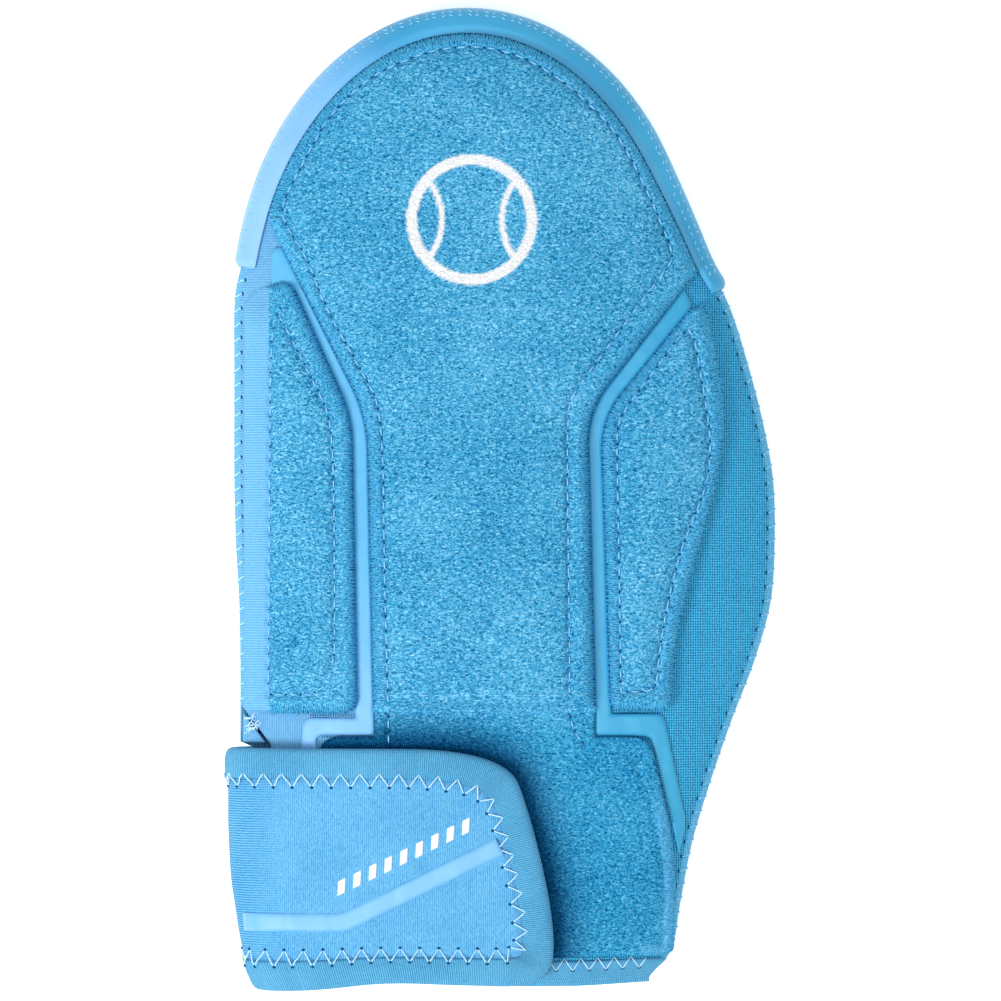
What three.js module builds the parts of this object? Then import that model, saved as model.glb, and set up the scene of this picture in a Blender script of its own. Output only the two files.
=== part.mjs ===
// Sliding mitt for the hand, lying on its back: front up, finger tips towards +Y, wrist towards -Y.
// Millimetres. Each piece is a wall or a pad between two matching grids of points.
import * as THREE from 'three';

// Driving sizes of the whole mitt
const mittLength = 280;
const mittWidth = 157;
const bodyThickness = 27;
const seamGap = 0.35;
const bedGap = 0.5;

// Neoprene body panels
const panelWall = 3;
const seamHalfHeight = 2.4;
const tipHalfHeight = 5.6;
const seamHeight = 11.2;
const tipArcLength = 83;
const tipRollLength = 46;
const backFlattening = 0.5;

// Rubber bumper around the finger tips
const bumperWall = 1.7;
const bumperProud = 2.1;
const bumperFlange = 6.2;
const bumperLip = 0.9;
const bumperSideGap = 0.7;

// Loop-faced foam pads
const centrePadHeight = 5.4;
const sidePadHeight = 4.8;
const padEdgeHeight = 1.3;
const padEdgeRound = 4;
const padCrown = 0.7;
const stitchInset = 5.3;
const stitchGrooveDepth = 0.9;
const stitchGrooveWidth = 1.1;
const landingHeight = 2.2;

// Heat-pressed film strips
const filmThickness = 0.7;
const filmClearance = 0.8;
const filmWidth = 5;

// Wrist strap
const strapThickness = 2.6;
const bindingWall = 0.9;
const bindingWidth = 8.6;
const bindingGap = 0.4;
const stripeWidth = 5.1;
const hookHeight = 0.7;
const foldReach = 14;

// Wrist hem tape
const hemWidth = 7.6;
const hemLiftStart = 1;
const hemLiftEnd = 12;

// Body outline seen from the front. along: share of mittLength from the wrist end.
// left, right: shares of mittWidth out from the finger line, which lies at fingerLine.
const fingerLine = -0.059;
const outlineRows = [
  { along: 0.0, left: 0.4, right: 0.329 },
  { along: 0.03, left: 0.405, right: 0.366 },
  { along: 0.09, left: 0.41, right: 0.388 },
  { along: 0.15, left: 0.412, right: 0.409 },
  { along: 0.21, left: 0.412, right: 0.441 },
  { along: 0.275, left: 0.412, right: 0.481 },
  { along: 0.335, left: 0.412, right: 0.522 },
  { along: 0.395, left: 0.414, right: 0.5515 },
  { along: 0.455, left: 0.42, right: 0.559 },
  { along: 0.52, left: 0.423, right: 0.556 },
  { along: 0.58, left: 0.423, right: 0.537 },
  { along: 0.64, left: 0.423, right: 0.509 },
  { along: 0.69, left: 0.423, right: 0.481 },
  { along: 0.7135, left: 0.4205, right: 0.463 },
  { along: 0.7365, left: 0.4145, right: 0.4425 },
  { along: 0.765, left: 0.412, right: 0.428 },
  { along: 0.825, left: 0.4115, right: 0.411 },
  { along: 0.885, left: 0.4115, right: 0.4095 },
  { along: 1.0, left: 0.4115, right: 0.4095 },
];

// Side view of the body. front: share of bodyThickness that the front panel reaches above the ground.
// edge: how far the seam edge has grown from seamHalfHeight (0) to tipHalfHeight (1).
const heightRows = [
  { along: 0.0, front: 0.86, edge: 0 },
  { along: 0.15, front: 0.9, edge: 0 },
  { along: 0.3, front: 0.96, edge: 0 },
  { along: 0.5, front: 1.0, edge: 0 },
  { along: 0.66, front: 0.99, edge: 0.1 },
  { along: 0.76, front: 0.96, edge: 0.6 },
  { along: 0.86, front: 0.93, edge: 1 },
  { along: 1.0, front: 0.9, edge: 1 },
];

// Where the side slit cuts the front panel's left edge: straight stretches between the rows
const slitRows = [
  { along: 0.0, edge: -0.39 },
  { along: 0.2495, edge: -0.4129 },
  { along: 0.2923, edge: -0.471 },
];
const strapSeam = -0.32;
const backStep = 0.2515;

// Outlines of the pads. across: share of mittWidth from its middle. along: share of mittLength.
// round: corner radius as a share of mittWidth.
const centrePadSides = [
  { across: -0.2268, along: 0.2845, round: 0.02 },
  { across: -0.2386, along: 0.5835, round: 0.06 },
];
const centrePadRightSides = [
  { across: 0.158, along: 0.588, round: 0.06 },
  { across: 0.1725, along: 0.2845, round: 0.02 },
];
const shoulderAlong = { left: 0.789, right: 0.7375 };
const waistAlongs = [0.566, 0.586, 0.606];

const leftPadCorners = [
  { across: -0.4555, along: 0.283, round: 0.02 },
  { across: -0.4555, along: 0.713, round: 0.03 },
  { across: -0.383, along: 0.7265, round: 0.02 },
  { across: -0.2677, along: 0.5835, round: 0.05 },
  { across: -0.2575, along: 0.283, round: 0.03 },
];
const rightPadCorners = [
  { across: 0.2015, along: 0.2865, round: 0.02 },
  { across: 0.184, along: 0.5815, round: 0.06 },
  { across: 0.358, along: 0.701, round: 0.04 },
  { across: 0.3785, along: 0.683, round: 0.03 },
  { across: 0.4185, along: 0.563, round: 0.16 },
  { across: 0.318, along: 0.3675, round: 0.2 },
  { across: 0.3085, along: 0.2865, round: 0.02 },
];
const landingStep = 0.2595;
const landingCorners = [
  { across: -0.3262, along: 0.0315, round: 0 },
  { across: -0.3262, along: landingStep, round: 0.04 },
  { across: -0.226, along: landingStep, round: 0 },
  { across: -0.226, along: 0.2815, round: 0 },
  { across: 0.1725, along: 0.2815, round: 0 },
  { across: 0.1745, along: landingStep, round: 0 },
  { across: 0.2625, along: landingStep, round: 0.04 },
  { across: 0.3165, along: 0.136, round: 0.1 },
  { across: 0.3055, along: 0.0315, round: 0.02 },
];
const gussetCorners = [
  { across: -0.4655, along: 0.2525, round: 0 },
  { across: -0.4655, along: 0.2835, round: 0 },
  { across: -0.4235, along: 0.2525, round: 0 },
];

// Below the pads each film strip turns a corner: its side towards the pad and its side towards the landing
const leftFilmTurn = [
  { outerAcross: -0.2685, outerAlong: 0.277, innerAcross: -0.2315, innerAlong: 0.273 },
  { outerAcross: -0.2715, outerAlong: 0.2765, innerAcross: -0.2385, innerAlong: 0.2625 },
  { outerAcross: -0.344, outerAlong: 0.2765, innerAcross: -0.308, innerAlong: 0.2625 },
  { outerAcross: -0.3555, outerAlong: 0.267, innerAcross: -0.331, innerAlong: 0.252 },
  { outerAcross: -0.3565, outerAlong: 0.236, innerAcross: -0.332, innerAlong: 0.236 },
];
const rightFilmTurn = [
  { outerAcross: 0.2025, outerAlong: 0.2805, innerAcross: 0.178, innerAlong: 0.273 },
  { outerAcross: 0.2115, outerAlong: 0.2805, innerAcross: 0.186, innerAlong: 0.2615 },
  { outerAcross: 0.2825, outerAlong: 0.2805, innerAcross: 0.25, innerAlong: 0.2615 },
  { outerAcross: 0.306, outerAlong: 0.268, innerAcross: 0.2735, innerAlong: 0.252 },
  { outerAcross: 0.3185, outerAlong: 0.232, innerAcross: 0.295, innerAlong: 0.224 },
  { outerAcross: 0.3385, outerAlong: 0.172, innerAcross: 0.3205, innerAlong: 0.164 },
  { outerAcross: 0.334, outerAlong: 0.143, innerAcross: 0.3275, innerAlong: 0.143 },
];
const leftFilmTop = 0.7495;
const rightFilmTop = 0.7055;

// Wrist strap: its free end seen from the front, and how far its fold reaches to the left
const strapEndCorners = [
  { across: 0.012, along: 0.2475, round: 0.19 },
  { across: 0.0615, along: 0.17, round: 0.1 },
  { across: 0.1015, along: 0.066, round: 0.09 },
  { across: 0.0915, along: 0.0045, round: 0.085 },
];
const foldRows = [
  { along: 0.0, fold: -0.4435 },
  { along: 0.03, fold: -0.458 },
  { along: 0.06, fold: -0.4695 },
  { along: 0.09, fold: -0.478 },
  { along: 0.13, fold: -0.4865 },
  { along: 0.18, fold: -0.4895 },
  { along: 0.22, fold: -0.4905 },
  { along: 0.25, fold: -0.4925 },
];
const strapStripeLine = [
  { across: -0.462, along: 0.071 },
  { across: -0.28, along: 0.0715 },
  { across: -0.0035, along: 0.1465 },
];
const hookCorners = [
  { across: -0.19, along: 0.04, round: 0.02 },
  { across: -0.19, along: 0.205, round: 0.02 },
  { across: -0.02, along: 0.205, round: 0.04 },
  { across: 0.035, along: 0.06, round: 0.02 },
  { across: 0.02, along: 0.04, round: 0.02 },
];

// Grid fineness
const frontGrid = { stations: 28, columns: 16 };
const backGrid = { stations: 23, columns: 11 };
const padInsets = [0, 1.3, 3.2, stitchInset, 7.6];

const wristY = -mittLength / 2;
const tipY = mittLength / 2 - bumperProud;
const panelEndY = wristY + bindingWall + seamGap;
const hemTopY = wristY + hemWidth;

const acrossX = (share) => share * mittWidth;
const alongY = (share) => wristY + share * mittLength;
const alongOf = (y) => (y - wristY) / mittLength;
const clamp = THREE.MathUtils.clamp;

// Reads one column of a table as a smooth function of its along column
function smoothColumn(rows, column) {
  const alongs = rows.map((row) => row.along);
  const values = rows.map((row) => row[column]);
  const curve = new THREE.CubicInterpolant(alongs, values, 1);
  return (along) => curve.evaluate(clamp(along, alongs[0], alongs.at(-1)))[0];
}

// The same, with straight stretches between the rows
function straightColumn(rows, column) {
  const curve = new THREE.LinearInterpolant(rows.map((row) => row.along), rows.map((row) => row[column]), 1);
  return (along) => curve.evaluate(clamp(along, rows[0].along, rows.at(-1).along))[0];
}

const leftReach = smoothColumn(outlineRows, 'left');
const rightReach = smoothColumn(outlineRows, 'right');
const frontShare = smoothColumn(heightRows, 'front');
const edgeGrowth = smoothColumn(heightRows, 'edge');
const slitEdge = straightColumn(slitRows, 'edge');
const foldEdge = smoothColumn(foldRows, 'fold');

const fingerX = acrossX(fingerLine);

// The finger tips follow an ellipse: 1 below the tip arc, 0 at the tip
function tipRound(y) {
  const climb = clamp((y - (tipY - tipArcLength)) / tipArcLength, 0, 1);
  return Math.sqrt(1 - climb * climb);
}

function halfWidth(y, side) {
  const reach = side < 0 ? leftReach(alongOf(y)) : rightReach(alongOf(y));
  return reach * mittWidth * tipRound(y);
}

const edgeX = (y, side) => fingerX + side * halfWidth(y, side);
const seamEdgeHalf = (y) => seamHalfHeight + (tipHalfHeight - seamHalfHeight) * clamp(edgeGrowth(alongOf(y)), 0, 1);

// A rounded lens: 1 in the middle, 0 at the edge
const lens = (share, power, fall) => Math.pow(1 - Math.pow(Math.min(Math.abs(share), 1), power), fall);

function widthShare(x, y) {
  const side = x < fingerX ? -1 : 1;
  return (x - fingerX) / Math.max(halfWidth(y, side), 0.01);
}

const rollShare = (y) => clamp((y - (tipY - tipRollLength)) / tipRollLength, 0, 1);

// Outer face of the front panel
function frontZ(x, y) {
  const foot = seamHeight + seamEdgeHalf(y);
  const rise = frontShare(alongOf(y)) * bodyThickness - foot;
  return foot + rise * lens(widthShare(x, y), 2.8, 0.72) * lens(rollShare(y), 2.6, 0.7);
}

// Outer face of the back panel, flattened where it rests and lifted clear of its hem tape at the wrist
function backZ(x, y) {
  const foot = seamHeight - seamEdgeHalf(y);
  const fall = foot + backFlattening;
  const lift = (bindingWall + seamGap) * (1 - THREE.MathUtils.smoothstep(y, hemTopY + hemLiftStart, hemTopY + hemLiftEnd));
  return Math.max(lift, foot - fall * lens(widthShare(x, y), 6, 0.9) * lens(rollShare(y), 4, 0.9));
}

// Closed solid between two matching grids of points: grid[row][column]
function wallBetween(outer, inner) {
  const rows = outer.length;
  const columns = outer[0].length;
  const points = [...outer.flat(), ...inner.flat()];
  const outerAt = (row, column) => row * columns + column;
  const innerAt = (row, column) => rows * columns + outerAt(row, column);
  const faces = [];
  const quad = (a, b, c, d) => faces.push(a, b, c, a, c, d);
  for (let row = 0; row < rows - 1; row++) {
    for (let column = 0; column < columns - 1; column++) {
      quad(outerAt(row, column), outerAt(row, column + 1), outerAt(row + 1, column + 1), outerAt(row + 1, column));
      quad(innerAt(row, column), innerAt(row + 1, column), innerAt(row + 1, column + 1), innerAt(row, column + 1));
    }
  }
  for (let row = 0; row < rows - 1; row++) {
    const last = columns - 1;
    quad(outerAt(row, 0), outerAt(row + 1, 0), innerAt(row + 1, 0), innerAt(row, 0));
    quad(outerAt(row + 1, last), outerAt(row, last), innerAt(row, last), innerAt(row + 1, last));
  }
  for (let column = 0; column < columns - 1; column++) {
    const last = rows - 1;
    quad(outerAt(0, column + 1), outerAt(0, column), innerAt(0, column), innerAt(0, column + 1));
    quad(outerAt(last, column), outerAt(last, column + 1), innerAt(last, column + 1), innerAt(last, column));
  }
  if (signedVolume(points, faces) < 0) faces.reverse();
  const geometry = new THREE.BufferGeometry().setFromPoints(points);
  geometry.setIndex(faces);
  geometry.computeVertexNormals();
  return geometry;
}

function signedVolume(points, faces) {
  let volume = 0;
  for (let i = 0; i < faces.length; i += 3) {
    const [a, b, c] = [points[faces[i]], points[faces[i + 1]], points[faces[i + 2]]];
    volume += a.dot(b.clone().cross(c)) / 6;
  }
  return volume;
}

const even = (count) => Array.from({ length: count }, (_, i) => i / (count - 1));

// Stations along the body, closer together towards the rounded tip
function bodyStationYs(fromY, stations) {
  const endY = tipY - 0.12;
  const straight = Math.round(stations * 0.54);
  const arcStartY = tipY - tipArcLength;
  const lower = even(straight).map((share) => fromY + share * (arcStartY - fromY));
  const climb = Math.asin((endY - arcStartY) / tipArcLength);
  const upper = even(stations - straight + 1).slice(1);
  return [...lower, ...upper.map((share) => arcStartY + tipArcLength * Math.sin(share * climb))];
}

// One station across the body from leftX to the right edge, closer together near the edges
function stationXs(y, leftX, columns) {
  const rightX = edgeX(y, 1);
  const middle = (leftX + rightX) / 2;
  const half = (rightX - leftX) / 2;
  const turn = Math.PI * 0.48;
  return even(columns).map((share) => middle + (half * Math.sin((share * 2 - 1) * turn)) / Math.sin(turn));
}

// On the sewn edge the wall's inner face comes down to the seam
const onSewnEdge = (x, y) => Math.abs(widthShare(x, y)) > 0.9995 || y > tipY - 0.2;

function frontPanelLeft(y) {
  const cutX = alongOf(y) < slitRows.at(-1).along ? acrossX(slitEdge(alongOf(y))) : -Infinity;
  return Math.max(edgeX(y, -1), cutX);
}

const backPanelLeft = (y) => (alongOf(y) < backStep - 0.0003 ? acrossX(strapSeam) + seamGap / 2 : edgeX(y, -1));

const frontXs = (y) => stationXs(y, frontPanelLeft(y), frontGrid.columns);
const backXs = (y) => stationXs(y, backPanelLeft(y), backGrid.columns);

function panelGrid(ys, xsAt, heightAt) {
  return ys.map((y) => xsAt(y).map((x) => new THREE.Vector3(x, y, heightAt(x, y))));
}

function frontPanel() {
  const slitYs = slitRows.slice(1).map((row) => alongY(row.along));
  const ys = mergeStations(bodyStationYs(panelEndY, frontGrid.stations), slitYs);
  const seamZ = seamHeight + seamGap / 2;
  const innerZ = (x, y) => (onSewnEdge(x, y) ? seamZ : Math.max(seamZ, frontZ(x, y) - panelWall));
  return wallBetween(panelGrid(ys, frontXs, frontZ), panelGrid(ys, frontXs, innerZ));
}

function backPanel() {
  const stepY = alongY(backStep);
  const added = [hemTopY + hemLiftStart, hemTopY + hemLiftEnd, stepY - 0.4, stepY];
  const ys = mergeStations(bodyStationYs(panelEndY, backGrid.stations), added);
  const seamZ = seamHeight - seamGap / 2;
  const innerZ = (x, y) => (onSewnEdge(x, y) ? seamZ : Math.min(seamZ, backZ(x, y) + panelWall));
  return wallBetween(panelGrid(ys, backXs, backZ), panelGrid(ys, backXs, innerZ));
}

// Adds stations, dropping those that an added one makes needless
function mergeStations(ys, added) {
  const kept = ys.filter((y, i) => i === 0 || i === ys.length - 1 || added.every((other) => Math.abs(other - y) > 2.5));
  return [...kept, ...added].sort((a, b) => a - b);
}

// Body edge from the left side over the tip to the right side, with outward normals
function edgePath(leftAlong, rightAlong, count) {
  const sideYs = (along) => {
    const startY = alongY(along);
    const arcStartY = tipY - tipArcLength;
    const climb = Math.asin(clamp((startY - arcStartY) / tipArcLength, -1, 1));
    return even(24).map((share) => arcStartY + tipArcLength * Math.sin(climb + share * (Math.PI / 2 - climb)));
  };
  const left = sideYs(leftAlong).map((y) => new THREE.Vector2(edgeX(y, -1), y));
  const right = sideYs(rightAlong).map((y) => new THREE.Vector2(edgeX(y, 1), y)).reverse();
  const curve = new THREE.SplineCurve([...left, ...right.slice(1)]);
  return even(count).map((share) => {
    const tangent = curve.getTangentAt(share);
    return { point: curve.getPointAt(share), outward: new THREE.Vector2(-tangent.y, tangent.x) };
  });
}

const bumperEnds = { left: 0.7365, right: 0.7135 };

// Section of the bumper from its front flange round the edge to its back flange
function bumperSection({ point, outward }, isOuter) {
  const at = (inset, height) => new THREE.Vector3(point.x - outward.x * inset, point.y - outward.y * inset, height);
  const edgeHalf = seamEdgeHalf(point.y) + bedGap;
  const wall = isOuter ? bumperWall : 0;
  const side = isOuter ? bumperProud : bumperSideGap;
  const flange = (share, sign, thickness) => {
    const { x, y } = at(bumperFlange * share, 0);
    const surfaceZ = sign > 0 ? frontZ(x, y) : backZ(x, y);
    return new THREE.Vector3(x, y, Math.max(0, surfaceZ + sign * (bedGap + thickness)));
  };
  const half = (sign) => [
    flange(1, sign, isOuter ? bumperLip : 0),
    flange(0.45, sign, wall),
    at(-side * 0.4, seamHeight + sign * (edgeHalf + wall * 0.8)),
    at(-side * 0.95, seamHeight + sign * (edgeHalf + wall * 0.3) * 0.6),
  ];
  return [...half(1), at(-side, seamHeight), ...half(-1).reverse()];
}

function bumper() {
  const path = edgePath(bumperEnds.left, bumperEnds.right, 39);
  return wallBetween(
    path.map((place) => bumperSection(place, true)),
    path.map((place) => bumperSection(place, false)),
  );
}

// Closed outline through corners, each rounded by a curve that starts and ends its round away
function roundedOutline(corners) {
  const places = corners.map(({ across, along, round }) => ({
    spot: new THREE.Vector2(acrossX(across), alongY(along)),
    radius: (round ?? 0) * mittWidth,
  }));
  const shape = new THREE.Shape();
  places.forEach(({ spot, radius }, i) => {
    const before = places.at(i - 1).spot;
    const after = places[(i + 1) % places.length].spot;
    const enter = stepTowards(spot, before, radius);
    const leave = stepTowards(spot, after, radius);
    if (i === 0) shape.moveTo(enter.x, enter.y);
    else shape.lineTo(enter.x, enter.y);
    if (radius > 0) shape.quadraticCurveTo(spot.x, spot.y, leave.x, leave.y);
  });
  return shape.getPoints(6);
}

function stepTowards(from, to, distance) {
  const reach = Math.min(distance, from.distanceTo(to) * 0.48);
  return from.clone().lerp(to, reach / from.distanceTo(to));
}

// Where the line at y crosses the outline: its leftmost and rightmost points
function spanAt(outline, y) {
  const hits = [];
  outline.forEach((a, i) => {
    const b = outline[(i + 1) % outline.length];
    if ((a.y - y) * (b.y - y) < 0) hits.push(a.x + ((b.x - a.x) * (y - a.y)) / (b.y - a.y));
  });
  return [Math.min(...hits), Math.max(...hits)];
}

function distanceToOutline(outline, x, y) {
  const spot = new THREE.Vector3(x, y, 0);
  const nearest = new THREE.Vector3();
  let best = Infinity;
  outline.forEach((a, i) => {
    const b = outline[(i + 1) % outline.length];
    const edge = new THREE.Line3(new THREE.Vector3(a.x, a.y, 0), new THREE.Vector3(b.x, b.y, 0));
    edge.closestPointToPoint(spot, true, nearest);
    best = Math.min(best, nearest.distanceTo(spot));
  });
  return best;
}

// Values from low to high that stand at the given insets from both ends, with an even middle.
// Each end's insets are stretched by its own factor, for an outline that runs aslant there.
function insetSteps(low, high, insets, middleCount, stretch = [1, 1]) {
  const reach = insets.at(-1) * (stretch[0] + stretch[1]);
  const squeeze = Math.min(1, (high - low) / (reach * 1.2));
  const [near, far] = stretch.map((factor) => insets.map((inset) => inset * squeeze * factor));
  const from = low + near.at(-1);
  const to = high - far.at(-1);
  const middle = even(middleCount + 2).slice(1, -1).map((share) => from + share * (to - from));
  return [...near.map((inset) => low + inset), ...middle, ...far.map((inset) => high - inset).reverse()];
}

// Height of a pad over its base: rounded edge, sewn groove, slight crown
function padHeight(distance, full, insets) {
  const edgeShare = clamp(distance / padEdgeRound, 0, 1);
  const rounded = padEdgeHeight + (full - padEdgeHeight) * Math.sqrt(1 - (1 - edgeShare) ** 2);
  const groove = stitchGrooveDepth * Math.exp(-(((distance - stitchInset) / stitchGrooveWidth) ** 2));
  const crown = padCrown * clamp((distance - insets.at(-1)) / stitchInset, 0, 1);
  return rounded - groove + crown;
}

// A pad over the front panel inside an outline
function padSolid(outline, heightAt, options = {}) {
  const { insets = padInsets, middleRows = 7, middleColumns = 2, base = bedGap, addedRows = [] } = options;
  const ys = outline.map((spot) => spot.y);
  const [lowY, highY] = [Math.min(...ys) + 0.05, Math.max(...ys) - 0.05];
  const rows = mergeStations(insetSteps(lowY, highY, insets, middleRows), addedRows);
  const spots = rows.map((y) => {
    const [leftX, rightX] = spanAt(outline, y);
    const [below, above] = [spanAt(outline, Math.max(y - 1, lowY)), spanAt(outline, Math.min(y + 1, highY))];
    const stretch = [0, 1].map((end) => Math.min(1.8, Math.hypot(1, (above[end] - below[end]) / 2)));
    return insetSteps(leftX, rightX, insets, middleColumns, stretch).map((x) => new THREE.Vector2(x, y));
  });
  const bed = (x, y) => frontZ(x, y) + base;
  const grid = (lift) => spots.map((row) => row.map(({ x, y }) => new THREE.Vector3(x, y, bed(x, y) + lift(x, y))));
  const top = (x, y) => heightAt(distanceToOutline(outline, x, y));
  return wallBetween(grid(top), grid(() => 0));
}

// The centre pad's crown follows the bumper's inner edge
function centrePadOutline() {
  const inset = bumperFlange + seamGap;
  const crown = edgePath(shoulderAlong.left, shoulderAlong.right, 30)
    .map(({ point, outward }) => point.clone().addScaledVector(outward, -inset));
  const lower = roundedOutline([
    ...centrePadRightSides,
    ...centrePadSides,
    { across: crown[0].x / mittWidth, along: alongOf(crown[0].y), round: 0 },
    { across: crown.at(-1).x / mittWidth, along: alongOf(crown.at(-1).y), round: 0 },
  ]);
  const sides = lower.slice(0, -1).filter((spot) => spot.y < Math.min(crown[0].y, crown.at(-1).y));
  return [...crown, ...sides];
}

const sewnPad = (full) => (distance) => padHeight(distance, full, padInsets);

const waistRows = waistAlongs.map(alongY);

function centrePad() {
  const options = { middleRows: 11, middleColumns: 8, addedRows: waistRows, base: bedGap + 0.1 };
  return padSolid(centrePadOutline(), sewnPad(centrePadHeight), options);
}

function leftPad() {
  return padSolid(roundedOutline(leftPadCorners), sewnPad(sidePadHeight), { middleRows: 6, addedRows: waistRows });
}

function rightPad() {
  return padSolid(roundedOutline(rightPadCorners), sewnPad(sidePadHeight), { middleRows: 6, addedRows: waistRows });
}

const flatSheet = (height) => (distance) => height * clamp(0.6 + distance / (height * 2.5), 0, 1);
const landingInsets = [0, 2];

function wristLanding() {
  const outline = roundedOutline(landingCorners);
  const stepY = alongY(landingStep);
  const addedRows = [stepY - 0.1, stepY + 0.1];
  const options = { insets: landingInsets, middleRows: 6, middleColumns: 9, addedRows };
  return padSolid(outline, flatSheet(landingHeight), options);
}

function cornerGusset() {
  const sunken = -1.4;
  const height = 1.2;
  const options = { insets: [0], middleRows: 2, middleColumns: 2, base: sunken };
  return padSolid(roundedOutline(gussetCorners), () => height, options);
}

// A thin strip laid on a surface between two lines of points that run side by side
function filmBetween(firstLine, secondLine, surfaceAt, stepLength) {
  const rows = [];
  firstLine.slice(1).forEach((end, i) => {
    const [start, otherStart, otherEnd] = [firstLine[i], secondLine[i], secondLine[i + 1]];
    const reach = Math.max(start.distanceTo(end), otherStart.distanceTo(otherEnd));
    const pieces = Math.max(1, Math.round(reach / stepLength));
    for (let piece = i === 0 ? 0 : 1; piece <= pieces; piece++) {
      const a = start.clone().lerp(end, piece / pieces);
      const b = otherStart.clone().lerp(otherEnd, piece / pieces);
      rows.push([a, a.clone().lerp(b, 0.5), b]);
    }
  });
  const grid = (lift) => rows.map((row) => row.map((spot) => surfaceAt(spot.x, spot.y, lift)));
  return wallBetween(grid(filmThickness), grid(0));
}

// Film in the groove between the centre pad and a side pad, then round the corner below them
function grooveFilm(side, sidePadOutline, topAlong, turnRows) {
  const centreOutline = centrePadOutline();
  const topY = alongY(topAlong);
  const bottomY = alongY(turnRows[0].outerAlong) + 3;
  const padTopY = Math.max(...sidePadOutline.map((spot) => spot.y));
  const inner = [];
  const outer = [];
  even(15).forEach((share) => {
    const y = topY + share * (bottomY - topY);
    const innerX = spanAt(centreOutline, y)[side < 0 ? 0 : 1] + side * filmClearance;
    inner.push(new THREE.Vector2(innerX, y));
    const padX = y < padTopY - 0.1 ? spanAt(sidePadOutline, y)[side < 0 ? 1 : 0] : side * mittWidth;
    const rimX = edgeX(y, side) - side * (bumperFlange + seamGap + filmClearance);
    const outerX = side * Math.min(side * (padX - side * filmClearance), side * rimX, side * innerX + filmWidth);
    outer.push(new THREE.Vector2(outerX, y));
  });
  turnRows.forEach((row) => {
    inner.push(new THREE.Vector2(acrossX(row.innerAcross), alongY(row.innerAlong)));
    outer.push(new THREE.Vector2(acrossX(row.outerAcross), alongY(row.outerAlong)));
  });
  const onFront = (x, y, lift) => new THREE.Vector3(x, y, frontZ(x, y) + bedGap + lift);
  return filmBetween(inner, outer, onFront, 11);
}

// Middle surface of the strap over the front, clear of the landing and its own binding
const rimHalf = strapThickness / 2 + bindingGap + bindingWall;
const strapLift = bedGap + landingHeight + seamGap + rimHalf;
const strapOverFront = (x, y) => frontZ(x, y) + strapLift;

// Cross-section of the strap at one y: from its seam on the back, round the fold, to the front
const foldCurves = new Map();
function foldCurve(y) {
  if (!foldCurves.has(y)) {
    const reachX = acrossX(foldEdge(alongOf(y))) + strapThickness / 2;
    const joinX = reachX + foldReach;
    const lowZ = rimHalf;
    const topZ = strapOverFront(joinX, y);
    const middleZ = (lowZ + topZ) / 2;
    const climb = topZ - middleZ;
    const spots = [
      [acrossX(strapSeam) - seamGap / 2, lowZ],
      [reachX + foldReach, lowZ],
      [reachX + foldReach * 0.3, lowZ + climb * 0.22],
      [reachX, middleZ - climb * 0.1],
      [reachX + foldReach * 0.28, topZ - climb * 0.36],
      [joinX, topZ],
    ].map(([x, z]) => new THREE.Vector3(x, y, z));
    const curve = new THREE.CatmullRomCurve3(spots, false, 'centripetal');
    foldCurves.set(y, { curve, joinX, length: curve.getLength() });
  }
  return foldCurves.get(y);
}

// A point of the strap. x on the front counts straight across, and below joinX it runs on round the fold.
function strapPoint(x, y, lift) {
  const { curve, joinX, length } = foldCurve(y);
  const reach = 0.5;
  if (x >= joinX) {
    const slope = (strapOverFront(x + reach, y) - strapOverFront(x - reach, y)) / (2 * reach);
    const normal = new THREE.Vector3(-slope, 0, 1).normalize();
    return new THREE.Vector3(x, y, strapOverFront(x, y)).addScaledVector(normal, lift);
  }
  const share = clamp(1 - (joinX - x) / length, 0, 1);
  const tangent = curve.getTangentAt(share);
  const normal = new THREE.Vector3(-tangent.z, 0, tangent.x);
  const point = curve.getPointAt(share).addScaledVector(normal, lift);
  point.z = Math.max(point.z, rimHalf - Math.abs(lift));
  return point;
}

// x of a share of the way round the fold: 0 at the strap's seam, 1 where it lies on the front
function roundX(y, share) {
  const { joinX, length } = foldCurve(y);
  return joinX - (1 - share) * length;
}

const foldShares = even(13);

// The strap's free end, from where it leaves the top edge to where it meets the bottom edge
const strapEnd = roundedOutline([
  { across: -0.6, along: strapEndCorners.at(-1).along },
  { across: -0.6, along: strapEndCorners[0].along },
  ...strapEndCorners,
]).slice(2);
const strapTopY = strapEnd[0].y;
const strapBottomY = strapEnd.at(-1).y;

// The strap's edge from its seam along the top, round the free end and back along the bottom.
// Each place on it gives the point that lies an inset further in.
function strapEdgePlaces() {
  const straight = (y, inwardY, endX) => {
    const round = foldShares.map((share) => (inset) => new THREE.Vector2(roundX(y + inwardY * inset, share), y + inwardY * inset));
    const joinX = foldCurve(y).joinX;
    const pieces = Math.round((endX - joinX) / 11);
    const flat = even(pieces + 1).slice(1, -1).map((share) => (inset) => (
      new THREE.Vector2(joinX + share * (endX - joinX), y + inwardY * inset)
    ));
    return [...round, ...flat];
  };
  const rounded = strapEnd.map((spot, i) => {
    const before = strapEnd[i - 1] ?? spot.clone().add(new THREE.Vector2(-1, 0));
    const after = strapEnd[i + 1] ?? spot.clone().add(new THREE.Vector2(-1, 0));
    const along = after.clone().sub(before).normalize();
    return (inset) => new THREE.Vector2(spot.x + along.y * inset, spot.y - along.x * inset);
  });
  const top = straight(strapTopY, -1, strapEnd[0].x);
  const bottom = straight(strapBottomY, 1, strapEnd.at(-1).x);
  return [...top, ...rounded, ...bottom.reverse()];
}

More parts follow.
